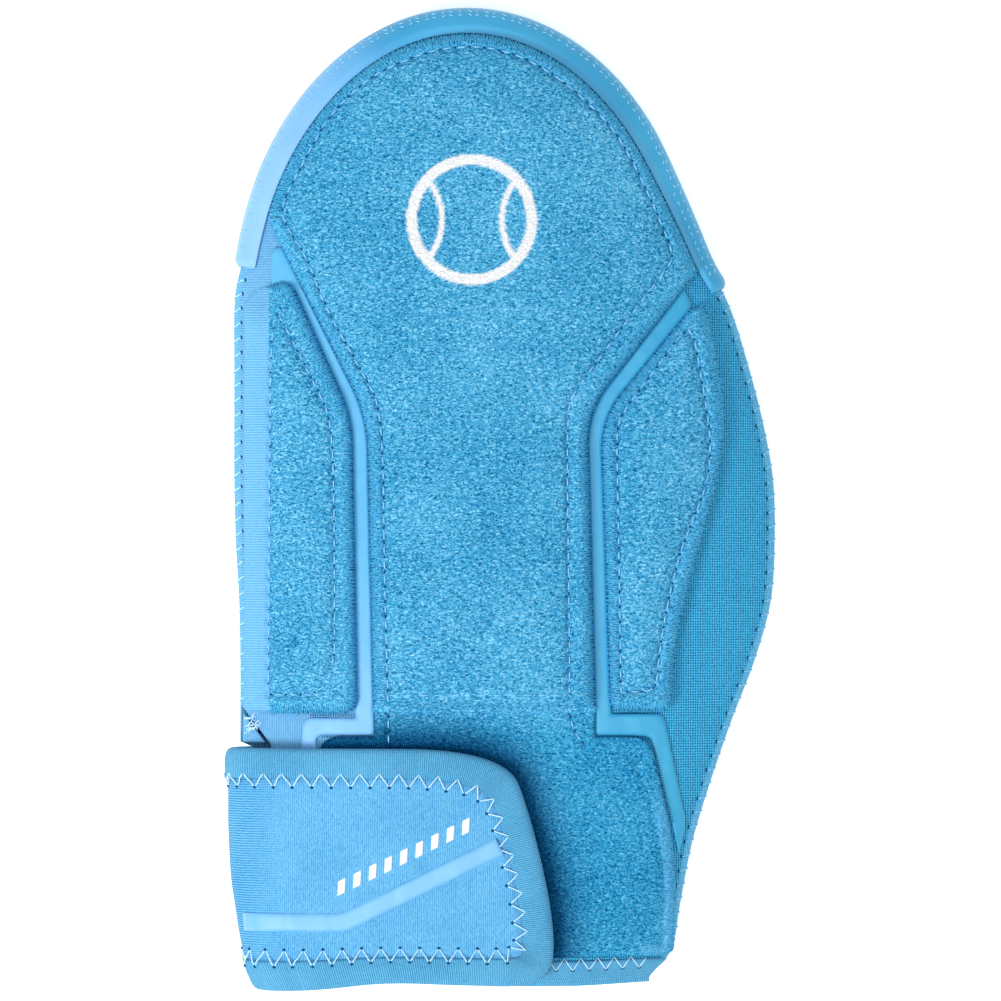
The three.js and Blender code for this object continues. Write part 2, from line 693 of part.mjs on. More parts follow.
// Inside its binding the strap's body stops one wall and one gap short of the edge
function strap() {
  const inset = bindingWall + bindingGap;
  const outline = strapEdgePlaces().map((place) => place(inset));
  const rows = insetSteps(strapBottomY + inset, strapTopY - inset, [0, 3], 6);
  const xs = (y) => {
    const { joinX } = foldCurve(y);
    const nearestY = clamp(y, strapBottomY + inset + 0.02, strapTopY - inset - 0.02);
    const endX = spanAt(outline, nearestY)[1];
    return [...foldShares.map((share) => roundX(y, share)), ...even(9).slice(1).map((share) => joinX + share * (endX - joinX))];
  };
  const grid = (lift) => rows.map((y) => xs(y).map((x) => strapPoint(x, y, lift)));
  return wallBetween(grid(strapThickness / 2), grid(-strapThickness / 2));
}

// The binding folds round the strap's edge: from its upper lip round the edge to its lower lip
function strapBinding() {
  const section = (isOuter) => {
    const half = isOuter ? rimHalf : strapThickness / 2 + bindingGap;
    const nose = isOuter ? 0 : bindingWall;
    const above = [[bindingWidth, half], [nose + half * 0.35, half], [nose, isOuter ? half * 0.55 : half]];
    return [...above, ...above.map(([inset, lift]) => [inset, -lift]).reverse()];
  };
  const grid = (isOuter) => strapEdgePlaces().map((place) => section(isOuter).map(([inset, lift]) => {
    const { x, y } = place(inset);
    return strapPoint(x, y, lift);
  }));
  return wallBetween(grid(true), grid(false));
}

// Film stripe across the strap
function strapStripe() {
  const spots = strapStripeLine.map(({ across, along }) => new THREE.Vector2(acrossX(across), alongY(along)));
  const edges = [-1, 1].map((side) => offsetLine(spots, (side * stripeWidth) / 2));
  const onStrap = (x, y, lift) => strapPoint(x, y, strapThickness / 2 + bedGap + lift);
  return filmBetween(edges[0], edges[1], onStrap, 3.5);
}

// A line of corners moved sideways, mitred at each corner
function offsetLine(spots, distance) {
  return spots.map((spot, i) => {
    const before = spots[i - 1] ? spot.clone().sub(spots[i - 1]) : spots[i + 1].clone().sub(spot);
    const after = spots[i + 1] ? spots[i + 1].clone().sub(spot) : before.clone();
    const sides = [before, after].map((run) => new THREE.Vector2(-run.y, run.x).normalize());
    const middle = sides[0].clone().add(sides[1]).normalize();
    return spot.clone().addScaledVector(middle, distance / middle.dot(sides[0]));
  });
}

function hookPatch() {
  const options = { insets: [0], middleRows: 4, middleColumns: 4, base: bedGap + landingHeight + seamGap };
  return padSolid(roundedOutline(hookCorners), () => hookHeight, options);
}

// Hem tape over the outer face and the cut end of a panel at the wrist
function wristHem(surfaceAt, sign, xsAt) {
  const columns = xsAt(panelEndY).map((_, column) => column);
  const endZ = (x) => {
    const inner = surfaceAt(x, panelEndY) - sign * panelWall;
    const seam = seamHeight + (sign * seamGap) / 2;
    return sign > 0 ? Math.max(inner, seam) : Math.min(inner, seam);
  };
  const face = (column, y, lift) => {
    const x = xsAt(Math.max(y, panelEndY))[column];
    return new THREE.Vector3(x, y, surfaceAt(x, Math.max(y, panelEndY)) + sign * lift);
  };
  const end = (column, y) => new THREE.Vector3(xsAt(panelEndY)[column], y, endZ(xsAt(panelEndY)[column]));
  const full = seamGap + bindingWall;
  const outer = (column) => [
    face(column, hemTopY, full), face(column, panelEndY, full), face(column, wristY, seamGap * 0.3), end(column, wristY),
  ];
  const cutY = panelEndY - seamGap;
  const inner = (column) => [
    face(column, hemTopY, seamGap), face(column, panelEndY, seamGap), face(column, cutY, 0), end(column, cutY),
  ];
  return wallBetween(columns.map(outer), columns.map(inner));
}

const cloth = { jersey: 0x52a8dc, loop: 0x4ba2d6, film: 0x74c0ee, rubber: 0x69b9e8, hook: 0x3f8fbe };

function addPiece(group, name, geometry, colour, roughness) {
  const material = new THREE.MeshStandardMaterial({ color: colour, roughness, metalness: 0 });
  const mesh = new THREE.Mesh(geometry, material);
  mesh.name = name;
  group.add(mesh);
}

const leftFilm = () => grooveFilm(-1, roundedOutline(leftPadCorners), leftFilmTop, leftFilmTurn);
const rightFilm = () => grooveFilm(1, roundedOutline(rightPadCorners), rightFilmTop, rightFilmTurn);

const mitt = new THREE.Group();
addPiece(mitt, 'front_panel', frontPanel(), cloth.jersey, 0.9);
addPiece(mitt, 'back_panel', backPanel(), cloth.jersey, 0.9);
addPiece(mitt, 'tip_bumper', bumper(), cloth.rubber, 0.45);
addPiece(mitt, 'centre_pad', centrePad(), cloth.loop, 0.95);
addPiece(mitt, 'finger_side_pad', leftPad(), cloth.loop, 0.95);
addPiece(mitt, 'thumb_side_pad', rightPad(), cloth.loop, 0.95);
addPiece(mitt, 'wrist_landing', wristLanding(), cloth.loop, 0.95);
addPiece(mitt, 'finger_side_film', leftFilm(), cloth.film, 0.4);
addPiece(mitt, 'thumb_side_film', rightFilm(), cloth.film, 0.4);
addPiece(mitt, 'corner_gusset', cornerGusset(), cloth.jersey, 0.9);
addPiece(mitt, 'front_wrist_hem', wristHem(frontZ, 1, frontXs), cloth.jersey, 0.85);
addPiece(mitt, 'back_wrist_hem', wristHem(backZ, -1, backXs), cloth.jersey, 0.85);
addPiece(mitt, 'wrist_strap', strap(), cloth.jersey, 0.9);
addPiece(mitt, 'strap_binding', strapBinding(), cloth.jersey, 0.85);
addPiece(mitt, 'strap_stripe', strapStripe(), cloth.film, 0.4);
addPiece(mitt, 'hook_patch', hookPatch(), cloth.hook, 0.95);

export default mitt;
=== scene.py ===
import math
import bpy
import numpy as np
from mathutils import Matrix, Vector


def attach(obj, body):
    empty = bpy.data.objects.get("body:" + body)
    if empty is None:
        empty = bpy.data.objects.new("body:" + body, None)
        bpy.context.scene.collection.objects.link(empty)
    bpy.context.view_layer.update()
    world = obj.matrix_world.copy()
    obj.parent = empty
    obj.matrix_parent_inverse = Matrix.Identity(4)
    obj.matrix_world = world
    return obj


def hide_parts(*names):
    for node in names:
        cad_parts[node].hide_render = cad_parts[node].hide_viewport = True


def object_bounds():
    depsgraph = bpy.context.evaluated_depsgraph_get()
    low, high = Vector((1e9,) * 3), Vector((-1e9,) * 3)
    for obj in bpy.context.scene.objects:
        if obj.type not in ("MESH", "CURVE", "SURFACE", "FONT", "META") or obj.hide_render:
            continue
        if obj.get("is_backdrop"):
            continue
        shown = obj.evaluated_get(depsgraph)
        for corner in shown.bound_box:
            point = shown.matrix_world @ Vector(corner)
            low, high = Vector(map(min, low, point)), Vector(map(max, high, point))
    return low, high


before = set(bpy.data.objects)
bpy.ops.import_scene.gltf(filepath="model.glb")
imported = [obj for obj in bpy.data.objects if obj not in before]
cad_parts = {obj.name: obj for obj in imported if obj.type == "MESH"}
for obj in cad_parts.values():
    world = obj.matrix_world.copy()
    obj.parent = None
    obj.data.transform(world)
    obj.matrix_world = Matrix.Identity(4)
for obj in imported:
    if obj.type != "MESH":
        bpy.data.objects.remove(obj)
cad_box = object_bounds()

# Sizes are millimetres until a mesh is made. The mitt lies front up, finger tips towards +Y.
MM = 0.001
LENGTH, WIDTH, THICKNESS = 280.0, 157.0, 27.0
SEAM_GAP, BED_GAP = 0.35, 0.5
PANEL_WALL, SEAM_HALF, TIP_HALF, SEAM_HEIGHT = 3.0, 2.4, 5.6, 11.2
TIP_ARC, TIP_ROLL, BACK_FLATTENING = 83.0, 46.0, 0.5
BUMPER_WALL, BUMPER_PROUD, BUMPER_FLANGE, BUMPER_LIP, BUMPER_SIDE_GAP = 1.7, 2.1, 5.6, 0.9, 0.7
BUMPER_ENDS = (0.7365, 0.7135)
CENTRE_HEIGHT, SIDE_HEIGHT, RIM_HEIGHT, RIM_ROUND, PAD_CROWN = 5.4, 4.8, 1.3, 4.0, 0.7
LANDING_HEIGHT, FILM_THICKNESS, FILM_CLEARANCE = 2.2, 0.7, 0.1
STRAP_HALF, BINDING_WALL, BINDING_WIDTH, BINDING_GAP = 1.3, 0.9, 8.6, 0.4
STRIPE_WIDTH, HOOK_HEIGHT, FOLD_REACH, HEM_WIDTH = 5.1, 0.7, 14.0, 7.6
TOP_PITCH, WHIP_PITCH, WHIP_INSET, LADDER_PITCH = 4.2, 4.25, 2.1, 0.72
STRAP_ZIGZAG_PITCH, HEM_ZIGZAG_PITCH = 2.72, 2.37
WHIP_RADIUS, STRAP_ZIGZAG_RADIUS, HEM_ZIGZAG_RADIUS, LOOSE_RADIUS, FIBRE_RADIUS = 0.18, 0.22, 0.2, 0.18, 0.11
# Needle holes, drawn as dark beads of painted shade: length along the seam, width and depth
WHIP_HOLE, LONG_HOLE, ROUND_HOLE, LADDER_HOLE = (1.5, 1.05, 0.6), (1.1, 0.6, 0.5), (1.1, 1.0, 0.5), (0.3, 0.8, 0.3)
# Running stitches: length along the seam, width and height
TOP_STITCH, LOWER_STITCH, STITCH_SUNK = (2.5, 0.46, 0.5), (2.4, 0.42, 0.46), 1.1
# The grooves that stitches pull into a pad: a narrow deep one, and a wide shallow one
GROOVE_DEPTH, GROOVE_WIDTH, HOLLOW_DEPTH, HOLLOW_WIDTH = 1.15, 0.85, 0.35, 2.4
# The strap's zigzag: how far it reaches onto the tape, onto the knit, and further onto the knit along the bottom
ZIGZAG_ON_TAPE, ZIGZAG_ON_KNIT, ZIGZAG_LOW_DOWN = 1.6, 2.4, 0.9
SCALLOP_DEPTH, SCALLOP_PITCH, SCALLOP_INSET, SCALLOP_WIDTH = 0.22, 2.7, 7.6, 1.2
# The wrist end's waves: a hump's rise, place and reach, and two steps' rises and where each starts and ends
EDGE_HUMP, EDGE_STEPS = (2.4, -31, 17), ((1.6, -34, -4), (.9, 18, 44))
# How full and how steep the body's section is: over its width, then over the roll at its tips
FRONT_LENS, FRONT_TIP_LENS = (2.8, 0.72), (2.6, 0.7)
BACK_LENS, BACK_TIP_LENS = (6, 0.9), (4, 0.9)

WRIST_Y, TIP_Y = -LENGTH / 2, LENGTH / 2 - BUMPER_PROUD
PANEL_END_Y = WRIST_Y + BINDING_WALL + SEAM_GAP
HEM_TOP_Y = WRIST_Y + HEM_WIDTH
FINGER_X = -0.059 * WIDTH

# Shares of LENGTH from the wrist, then shares of WIDTH out from the finger line to the left and to the right
OUTLINE_ROWS = [
    (0, .4, .329), (.03, .405, .366), (.09, .41, .388), (.15, .412, .409), (.21, .412, .441), (.275, .412, .481),
    (.335, .412, .522), (.395, .414, .5515), (.455, .42, .559), (.52, .423, .556), (.58, .423, .537), (.64, .423, .509),
    (.69, .423, .481), (.7135, .4205, .463), (.7365, .4145, .4425), (.765, .412, .428), (.825, .4115, .411),
    (.885, .4115, .4095), (1, .4115, .4095)]
# Shares of LENGTH, then of THICKNESS, then how far the seam's edge has grown to its height at the tips
HEIGHT_ROWS = [
    (0, .86, 0), (.15, .9, 0), (.3, .96, 0), (.5, 1, 0), (.66, .99, .1), (.76, .96, .6), (.86, .93, 1), (1, .9, 1)]
SLIT_ROWS = [(0, -.39), (.2495, -.4129), (.2923, -.471)]
STRAP_SEAM, BACK_STEP = -.32, .2515
# The strap's folded edge: share of LENGTH, share of WIDTH
FOLD_ROWS = [
    (0, -.4435), (.03, -.458), (.06, -.4695), (.09, -.478), (.13, -.4865), (.18, -.4895), (.22, -.4905), (.25, -.4925)]

# Corners of the sewn pieces: share across, share along, corner radius as a share of WIDTH
CENTRE_LEFT = [(-.2268, .2845, .004), (-.2386, .5835, .06)]
CENTRE_RIGHT = [(.158, .588, .06), (.1725, .2845, .004)]
SHOULDERS = (.789, .7375)
LEFT_PAD = [(-.464, .283, .015), (-.4635, .709, .04), (-.379, .7215, .02), (-.2677, .5835, .05), (-.2575, .283, .03)]
RIGHT_PAD = [(.2015, .2865, .02), (.184, .5815, .06), (.358, .701, .04), (.3785, .683, .03), (.4185, .563, .16),
             (.318, .3675, .2), (.3085, .2865, .02)]
STEP = .2595
LANDING = [(-.3262, .0315, 0), (-.3262, STEP, .04), (.2715, STEP, .035), (.3225, .139, .12), (.3165, .0315, .02)]
LANDING_LIP = [(-.226, STEP - .02, 0), (-.226, .2885, 0), (.1728, .2885, 0), (.1728, STEP - .02, 0)]
GUSSET = [(-.4655, .2525, 0), (-.4655, .2835, 0), (-.4235, .2525, 0)]
STRAP_END = [(.012, .2475, .19), (.0615, .17, .1), (.1015, .066, .09), (.0915, .0008, .085)]
HOOK = [(-.19, .04, .02), (-.19, .205, .02), (-.02, .205, .04), (.035, .06, .02), (.02, .04, .02)]
STRIPE = [(-.467, .071), (-.28, .0715), (.0025, .1495)]
# Rows of outer across, outer along, inner across, inner along, and how far the corner is rounded in millimetres
LEFT_TURN = [(-.2586, .2779, -.2264, .2611, 1.3), (-.3561, .2782, -.3331, .2611, 3), (-.3599, .236, -.3287, .236, 0)]
RIGHT_TURN = [(.2025, .2821, .1726, .2604, 1), (.2968, .2821, .2735, .2596, 2.2), (.3379, .1714, .3118, .1714, 2),
              (.3268, .14, .3248, .14, 0)]

# Lines of topstitching, in millimetres
CENTRE_STITCH = [
    (-31.6, -57.2), (-31.8, -48.8), (-32.6, -20.2), (-33.1, 25.1), (-38.6, 35.4), (-50.0, 55.6), (-54.2, 67.9),
    (-61.8, 79.4), (-61.4, 84.4), (-57.2, 92.5), (-53.0, 100.2), (-48.8, 108.0), (-40.4, 116.5), (-33.8, 121.2),
    (-24.8, 125.2), (-17, 127.6), (-8, 128.4), (-.8, 127.6), (7.6, 124.9), (18.4, 118.3), (28, 109.6), (33.4, 103.3),
    (39.5, 92.5), (46, 78), (49, 70.2), (48.7, 66.9), (44.8, 61.9), (36.5, 51), (21.4, 30.5), (19, 25.7),
    (19.5, -21.4), (19.9, -43.9), (19.7, -57.2)]
LEFT_STITCH = [
    (-65.6, -55.5), (-65.2, 0), (-64.8, 56.2), (-59.6, 46.8), (-56.6, 40.8), (-51.7, 31.1), (-48.2, 24), (-47, 10.5),
    (-46.7, -23), (-46.7, -55.5)]
RIGHT_STITCH = [
    (34.4, -54.6), (33.8, -13.4), (33.2, 14.3), (33.5, 21.5), (36.5, 26.9), (44.9, 37.7), (52.2, 47.9), (55, 47.3),
    (57.2, 34.8), (58.7, 25.7), (59.9, 16.7), (59.3, 5.3), (54.5, -6.7), (50.9, -15.7), (46.8, -33.4), (44.9, -47),
    (44.4, -54.6)]
LANDING_STITCHES = [[(-31.6, -59), (-31.4, -71)], [(19.8, -59), (20.4, -63.4), (21.4, -66.4), (24.6, -70.4)]]
CROSSING_ROW = [(-30, -55.6), (18.6, -55.6)]
LANDING_GROOVE = [
    (26, -71.2), (33, -71.6), (37.8, -72.9), (40.5, -78.4), (43.2, -88.2), (45.4, -97.5), (46.8, -108.4),
    (46.5, -119.3), (46.2, -131)]
# Each ladder of tiny stitches, drawn as a row of dark beads of painted shade: its line, and its height over the panel
LADDERS = [
    ([(27.6, -67.45), (42.2, -67.5), (44.2, -70.4), (49.4, -92)], 1.3), ([(32.6, -60.75), (46.2, -60.75)], .95),
    ([(-50.2, -67.45), (-37.4, -67.45), (-36, -66.9)], 1.3), ([(-53.6, -61.4), (-41.2, -61.4)], .75)]


def along_y(share):
    return WRIST_Y + np.asarray(share, float) * LENGTH


def along_of(y):
    return (np.asarray(y, float) - WRIST_Y) / LENGTH


def smooth_column(rows, column):
    """Reads one column of a table as a smooth function of its first column."""
    t, v = (np.array([row[i] for row in rows], float) for i in (0, column))
    last = len(t) - 1

    def read(along):
        along = np.clip(np.asarray(along, float), t[0], t[-1])
        after = np.clip(np.searchsorted(t, along, side="right"), 1, last)
        before = after - 1
        at_start, at_end = before == 0, after == last
        t0, t1 = t[before], t[after]
        earlier = np.where(at_start, 2 * t0 - t1, t[before - 1])
        later = np.where(at_end, 2 * t1 - t0, t[np.minimum(after + 1, last)])
        half = (t1 - t0) / 2
        wp, wn = half / (t0 - earlier), half / (later - t1)
        p = (along - t0) / (t1 - t0)
        return ((-wp * p**3 + 2 * wp * p**2 - wp * p) * v[np.where(at_start, after, before - 1)]
                + ((1 + wp) * p**3 + (-1.5 - 2 * wp) * p**2 + (wp - .5) * p + 1) * v[before]
                + ((-1 - wn) * p**3 + (1.5 + wn) * p**2 + .5 * p) * v[after]
                + (wn * p**3 - wn * p**2) * v[np.where(at_end, before, np.minimum(after + 1, last))])
    return read


left_reach, right_reach = smooth_column(OUTLINE_ROWS, 1), smooth_column(OUTLINE_ROWS, 2)
front_share, edge_growth = smooth_column(HEIGHT_ROWS, 1), smooth_column(HEIGHT_ROWS, 2)
fold_edge = smooth_column(FOLD_ROWS, 1)


def tip_round(y):
    climb = np.clip((y - (TIP_Y - TIP_ARC)) / TIP_ARC, 0, 1)
    return np.sqrt(1 - climb**2)


def half_width(y, side):
    along = along_of(y)
    return np.where(side < 0, left_reach(along), right_reach(along)) * WIDTH * tip_round(y)


def edge_x(y, side):
    return FINGER_X + side * half_width(y, side)


def edge_half(y):
    return SEAM_HALF + (TIP_HALF - SEAM_HALF) * np.clip(edge_growth(along_of(y)), 0, 1)


def lens(share, power, fall):
    return (1 - np.minimum(np.abs(share), 1) ** power) ** fall


def width_share(x, y):
    side = np.where(x < FINGER_X, -1, 1)
    return (x - FINGER_X) / np.maximum(half_width(y, side), .01)


def roll_share(y):
    return np.clip((y - (TIP_Y - TIP_ROLL)) / TIP_ROLL, 0, 1)


def front_z(x, y):
    foot = SEAM_HEIGHT + edge_half(y)
    risen = (front_share(along_of(y)) * THICKNESS - foot) * lens(width_share(x, y), *FRONT_LENS)
    return foot + risen * lens(roll_share(y), *FRONT_TIP_LENS)


def smooth_step(value, low, high):
    t = np.clip((value - low) / (high - low), 0, 1)
    return t * t * (3 - 2 * t)


def back_z(x, y):
    foot = SEAM_HEIGHT - edge_half(y)
    lift = (BINDING_WALL + SEAM_GAP) * (1 - smooth_step(y, HEM_TOP_Y + 1, HEM_TOP_Y + 12))
    fallen = (foot + BACK_FLATTENING) * lens(width_share(x, y), *BACK_LENS) * lens(roll_share(y), *BACK_TIP_LENS)
    return np.maximum(lift, foot - fallen)


def flange_width(spots):
    """The edge rubber's flange is widest over the tip and narrower down its two sides."""
    low = np.where(spots[:, 0] < FINGER_X, 4.2, 3.2)
    return (low + (BUMPER_FLANGE - low) * smooth_step(spots[:, 1], 60, 128))[:, None]


def wander(x, y, size, seed=0.0):
    """A slow uneven rise and fall between -1 and 1, about size across."""
    k = 2 * math.pi / size
    across = np.sin(k * x + 1.7 * np.sin(.61 * k * y + seed) + seed)
    along = np.cos(.83 * k * y + 1.3 * np.sin(.47 * k * x - seed))
    return (across * along + .5 * np.sin(1.9 * k * (.6 * x + .8 * y) + 2.1 * seed)) / 1.5


# Outlines and lines

def arc_along(line):
    """Length travelled up to each point of a line."""
    return np.concatenate([[0], np.cumsum(np.linalg.norm(np.diff(line, axis=0), axis=1))])


def from_ends(count):
    """For each of count places in a row, how many places it is away from the nearer end."""
    return np.minimum(np.arange(count), np.arange(count)[::-1])


def bend(enter, spot, leave, pieces):
    """Points of a rounded corner that starts at enter, is drawn towards spot and ends at leave."""
    return [(1 - t) ** 2 * enter + 2 * t * (1 - t) * spot + t * t * leave for t in np.linspace(0, 1, pieces)]


def rounded_outline(corners, pieces=14):
    spots = [np.array([across * WIDTH, float(along_y(along))]) for across, along, _ in corners]
    outline = []
    for i, (_, _, rounding) in enumerate(corners):
        spot, before, after = spots[i], spots[i - 1], spots[(i + 1) % len(spots)]
        if rounding == 0:
            outline.append(spot)
            continue
        enter, leave = (spot + (other - spot) * min(rounding * WIDTH / np.linalg.norm(other - spot), .48)
                        for other in (before, after))
        outline += bend(enter, spot, leave, pieces)
    return np.array(outline)


def softened(line, times=2):
    """Cuts the corners of an open line, keeping its ends."""
    line = np.array(line, float)
    for _ in range(times):
        cut = np.concatenate([.75 * line[:-1] + .25 * line[1:], .25 * line[:-1] + .75 * line[1:]], 1)
        line = np.vstack([line[:1], cut.reshape(-1, line.shape[1]), line[-1:]])
    return line


def walk(line, pitch, start=0.0):
    """Spots every pitch along a line, with the direction of travel at each."""
    line = np.asarray(line, float)
    arc = arc_along(line)
    at = np.arange(start, arc[-1], pitch)
    read = lambda s: np.stack([np.interp(s, arc, line[:, i]) for i in range(line.shape[1])], -1)
    heading = read(np.minimum(at + .3, arc[-1])) - read(np.maximum(at - .3, 0))
    return read(at), heading / np.linalg.norm(heading, axis=1, keepdims=True), at


def nearest_on(line, x, y, closed=True):
    """Distance from each spot to a line, and how far along the line the nearest place is."""
    ends = np.roll(line, -1, 0) if closed else line[1:]
    starts = line if closed else line[:-1]
    lengths = np.linalg.norm(ends - starts, axis=1)
    arcs = np.concatenate([[0], np.cumsum(lengths)])
    best, place = np.full(x.shape, np.inf), np.zeros(x.shape)
    for a, b, length, arc in zip(starts, ends, lengths, arcs):
        if length < 1e-6:
            continue
        run = (b - a) / length
        t = np.clip((x - a[0]) * run[0] + (y - a[1]) * run[1], 0, length)
        distance = np.hypot(x - a[0] - t * run[0], y - a[1] - t * run[1])
        closer = distance < best
        best, place = np.where(closer, distance, best), np.where(closer, arc + t, place)
    return best, place


def span_at(outline, y):
    """Where a level line enters and leaves an outline."""
    a, b = outline, np.roll(outline, -1, 0)
    crossed = (a[:, 1] - y) * (b[:, 1] - y) < 0
    a, b = a[crossed], b[crossed]
    hits = a[:, 0] + (b[:, 0] - a[:, 0]) * (y - a[:, 1]) / (b[:, 1] - a[:, 1])
    return hits.min(), hits.max()


def thinned(rows, columns, *tables):
    """The same tables with fewer rows and columns, for a piece's hidden underside."""
    shape = tables[0].shape
    pick = np.ix_(*(np.linspace(0, n - 1, kept).astype(int) for n, kept in zip(shape, (rows, columns))))
    return [table[pick] for table in tables]


def edge_path(left_along, right_along, count):
    """The body's edge from its left side over the tip to its right side, with outward directions."""
    def side(along, sign):
        low = TIP_Y - TIP_ARC
        climb = math.asin(np.clip((along_y(along) - low) / TIP_ARC, -1, 1))
        y = low + TIP_ARC * np.sin(np.linspace(climb, math.pi / 2, 500))
        return np.stack([edge_x(y, sign), y], -1)
    line = np.vstack([side(left_along, -1), side(right_along, 1)[::-1][1:]])
    spots, heading, _ = walk(line, arc_along(line)[-1] / (count - 1) * .999999)
    return spots[:count], np.stack([-heading[:, 1], heading[:, 0]], -1)[:count]


# Meshes

def grid_mesh(name, points):
    """A primitive grid laid over a table of points, row by row."""
    rows, columns, _ = points.shape
    bpy.ops.object.select_all(action="DESELECT")
    bpy.ops.mesh.primitive_grid_add(x_subdivisions=columns - 1, y_subdivisions=rows - 1, size=1)
    piece = bpy.context.object
    piece.name = piece.data.name = name
    piece.data.vertices.foreach_set("co", (points * MM).ravel())
    return piece


def closed_piece(name, upper, lower):
    """A closed piece between two grids: their rims are bridged and its faces turned outwards."""
    piece = grid_mesh(name, upper)
    grid_mesh(name + "_under", lower)
    piece.select_set(True)
    bpy.context.view_layer.objects.active = piece
    bpy.ops.object.join()
    bpy.ops.object.mode_set(mode="EDIT")
    bpy.ops.mesh.select_mode(type="EDGE")
    bpy.ops.mesh.select_all(action="DESELECT")
    bpy.ops.mesh.select_non_manifold(extend=False, use_wire=False, use_boundary=True, use_multi_face=False,
                                     use_non_contiguous=False, use_verts=False)
    bpy.ops.mesh.bridge_edge_loops()
    bpy.ops.mesh.select_all(action="SELECT")
    bpy.ops.mesh.normals_make_consistent(inside=False)
    bpy.ops.object.mode_set(mode="OBJECT")
    bpy.ops.object.shade_smooth()
    return piece


def set_map(piece, *grids):
    """Writes the piece's UV map from tables of (u, v) in millimetres, one for each grid it was made of."""
    values = np.concatenate([grid.reshape(-1, 2) for grid in grids]) * MM
    layer = piece.data.uv_layers[0]
    corners = np.empty(len(piece.data.loops), int)
    piece.data.loops.foreach_get("vertex_index", corners)
    layer.data.foreach_set("uv", values[corners].astype(np.float32).ravel())


def set_mark(piece, name, *grids):
    """Writes a number for each vertex, from one table for each grid, for the material to read."""
    values = np.concatenate([np.asarray(grid, float).ravel() for grid in grids])
    piece.data.attributes.new(name, "FLOAT", "POINT").data.foreach_set("value", values.astype(np.float32))


def wave_lower_edge(piece):
    """The wrist end's edge is a little wavy, and what lies near it moves up with it."""
    spots = np.empty(3 * len(piece.data.vertices))
    piece.data.vertices.foreach_get("co", spots)
    spots = spots.reshape(-1, 3)
    x, y = spots[:, 0] / MM, spots[:, 1] / MM
    hump, place, reach = EDGE_HUMP
    rise = hump * np.exp(-((x - place) / reach) ** 2)
    for step, start, end in EDGE_STEPS:
        rise += step * smooth_step(x, start, end)
    spots[:, 1] += rise * smooth_step(-y, 120, 140) * MM
    piece.data.vertices.foreach_set("co", spots.ravel())
    piece.data.update()


def dress(piece, material, stands_for=()):
    """Finishes a piece: its material, and what it is to the CAD model."""
    wave_lower_edge(piece)
    piece.data.materials.clear()
    piece.data.materials.append(material)
    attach(piece, "root")
    if stands_for:
        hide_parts(*stands_for)
    return piece


def threads(name, paths, radius, material, sides=1):
    """Round threads along lines of points, made a mesh."""
    curve = bpy.data.curves.new(name, "CURVE")
    curve.dimensions, curve.bevel_depth, curve.bevel_resolution, curve.use_fill_caps = "3D", radius * MM, sides, True
    for path in paths:
        spline = curve.splines.new("POLY")
        spline.points.add(len(path) - 1)
        spline.points.foreach_set("co", np.hstack([np.asarray(path) * MM, np.ones((len(path), 1))]).ravel())
    piece = bpy.data.objects.new(name, curve)
    bpy.context.collection.objects.link(piece)
    bpy.ops.object.select_all(action="DESELECT")
    piece.select_set(True)
    bpy.context.view_layer.objects.active = piece
    bpy.ops.object.convert(target="MESH")
    piece = bpy.context.object
    bpy.ops.object.shade_smooth()
    return dress(piece, material)


def scatter(name, centres, bases, sizes, material, segments=8, rings=5):
    """One rounded bead copied to many places. bases holds three unit directions for each place."""
    bpy.ops.object.select_all(action="DESELECT")
    bpy.ops.mesh.primitive_uv_sphere_add(segments=segments, ring_count=rings, radius=.5)
    bead = bpy.context.object
    unit = np.array([v.co for v in bead.data.vertices])
    faces = [list(p.vertices) for p in bead.data.polygons]
    bpy.data.objects.remove(bead)
    spots = np.einsum("vi,nij->nvj", unit, bases * np.asarray(sizes, float)[..., :, None]) + centres[:, None, :]
    copied = [[i + n * len(unit) for i in face] for n in range(len(centres)) for face in faces]
    mesh = bpy.data.meshes.new(name)
    mesh.from_pydata((spots.reshape(-1, 3) * MM).tolist(), [], copied)
    piece = bpy.data.objects.new(name, mesh)
    bpy.context.collection.objects.link(piece)
    mesh.polygons.foreach_set("use_smooth", [True] * len(mesh.polygons))
    return dress(piece, material)


def bases_on(surface, spots, heading, step=.4):
    """Along, sideways and upward directions on a surface z = surface(x, y)."""
    x, y = spots[:, 0], spots[:, 1]
    sx = (surface(x + step, y) - surface(x - step, y)) / (2 * step)
    sy = (surface(x, y + step) - surface(x, y - step)) / (2 * step)
    up = np.stack([-sx, -sy, np.ones_like(sx)], -1)
    up /= np.linalg.norm(up, axis=1, keepdims=True)
    along = np.stack([heading[:, 0], heading[:, 1], heading[:, 0] * sx + heading[:, 1] * sy], -1)
    along /= np.linalg.norm(along, axis=1, keepdims=True)
    return np.stack([along, np.cross(up, along), up], 1)


# Materials. Their object coordinates are metres, so places in them are written in metres too.

def srgb(red, green, blue):
    return tuple(((c / 255 + .055) / 1.055) ** 2.4 if c > 10 else c / 255 / 12.92 for c in (red, green, blue)) + (1,)


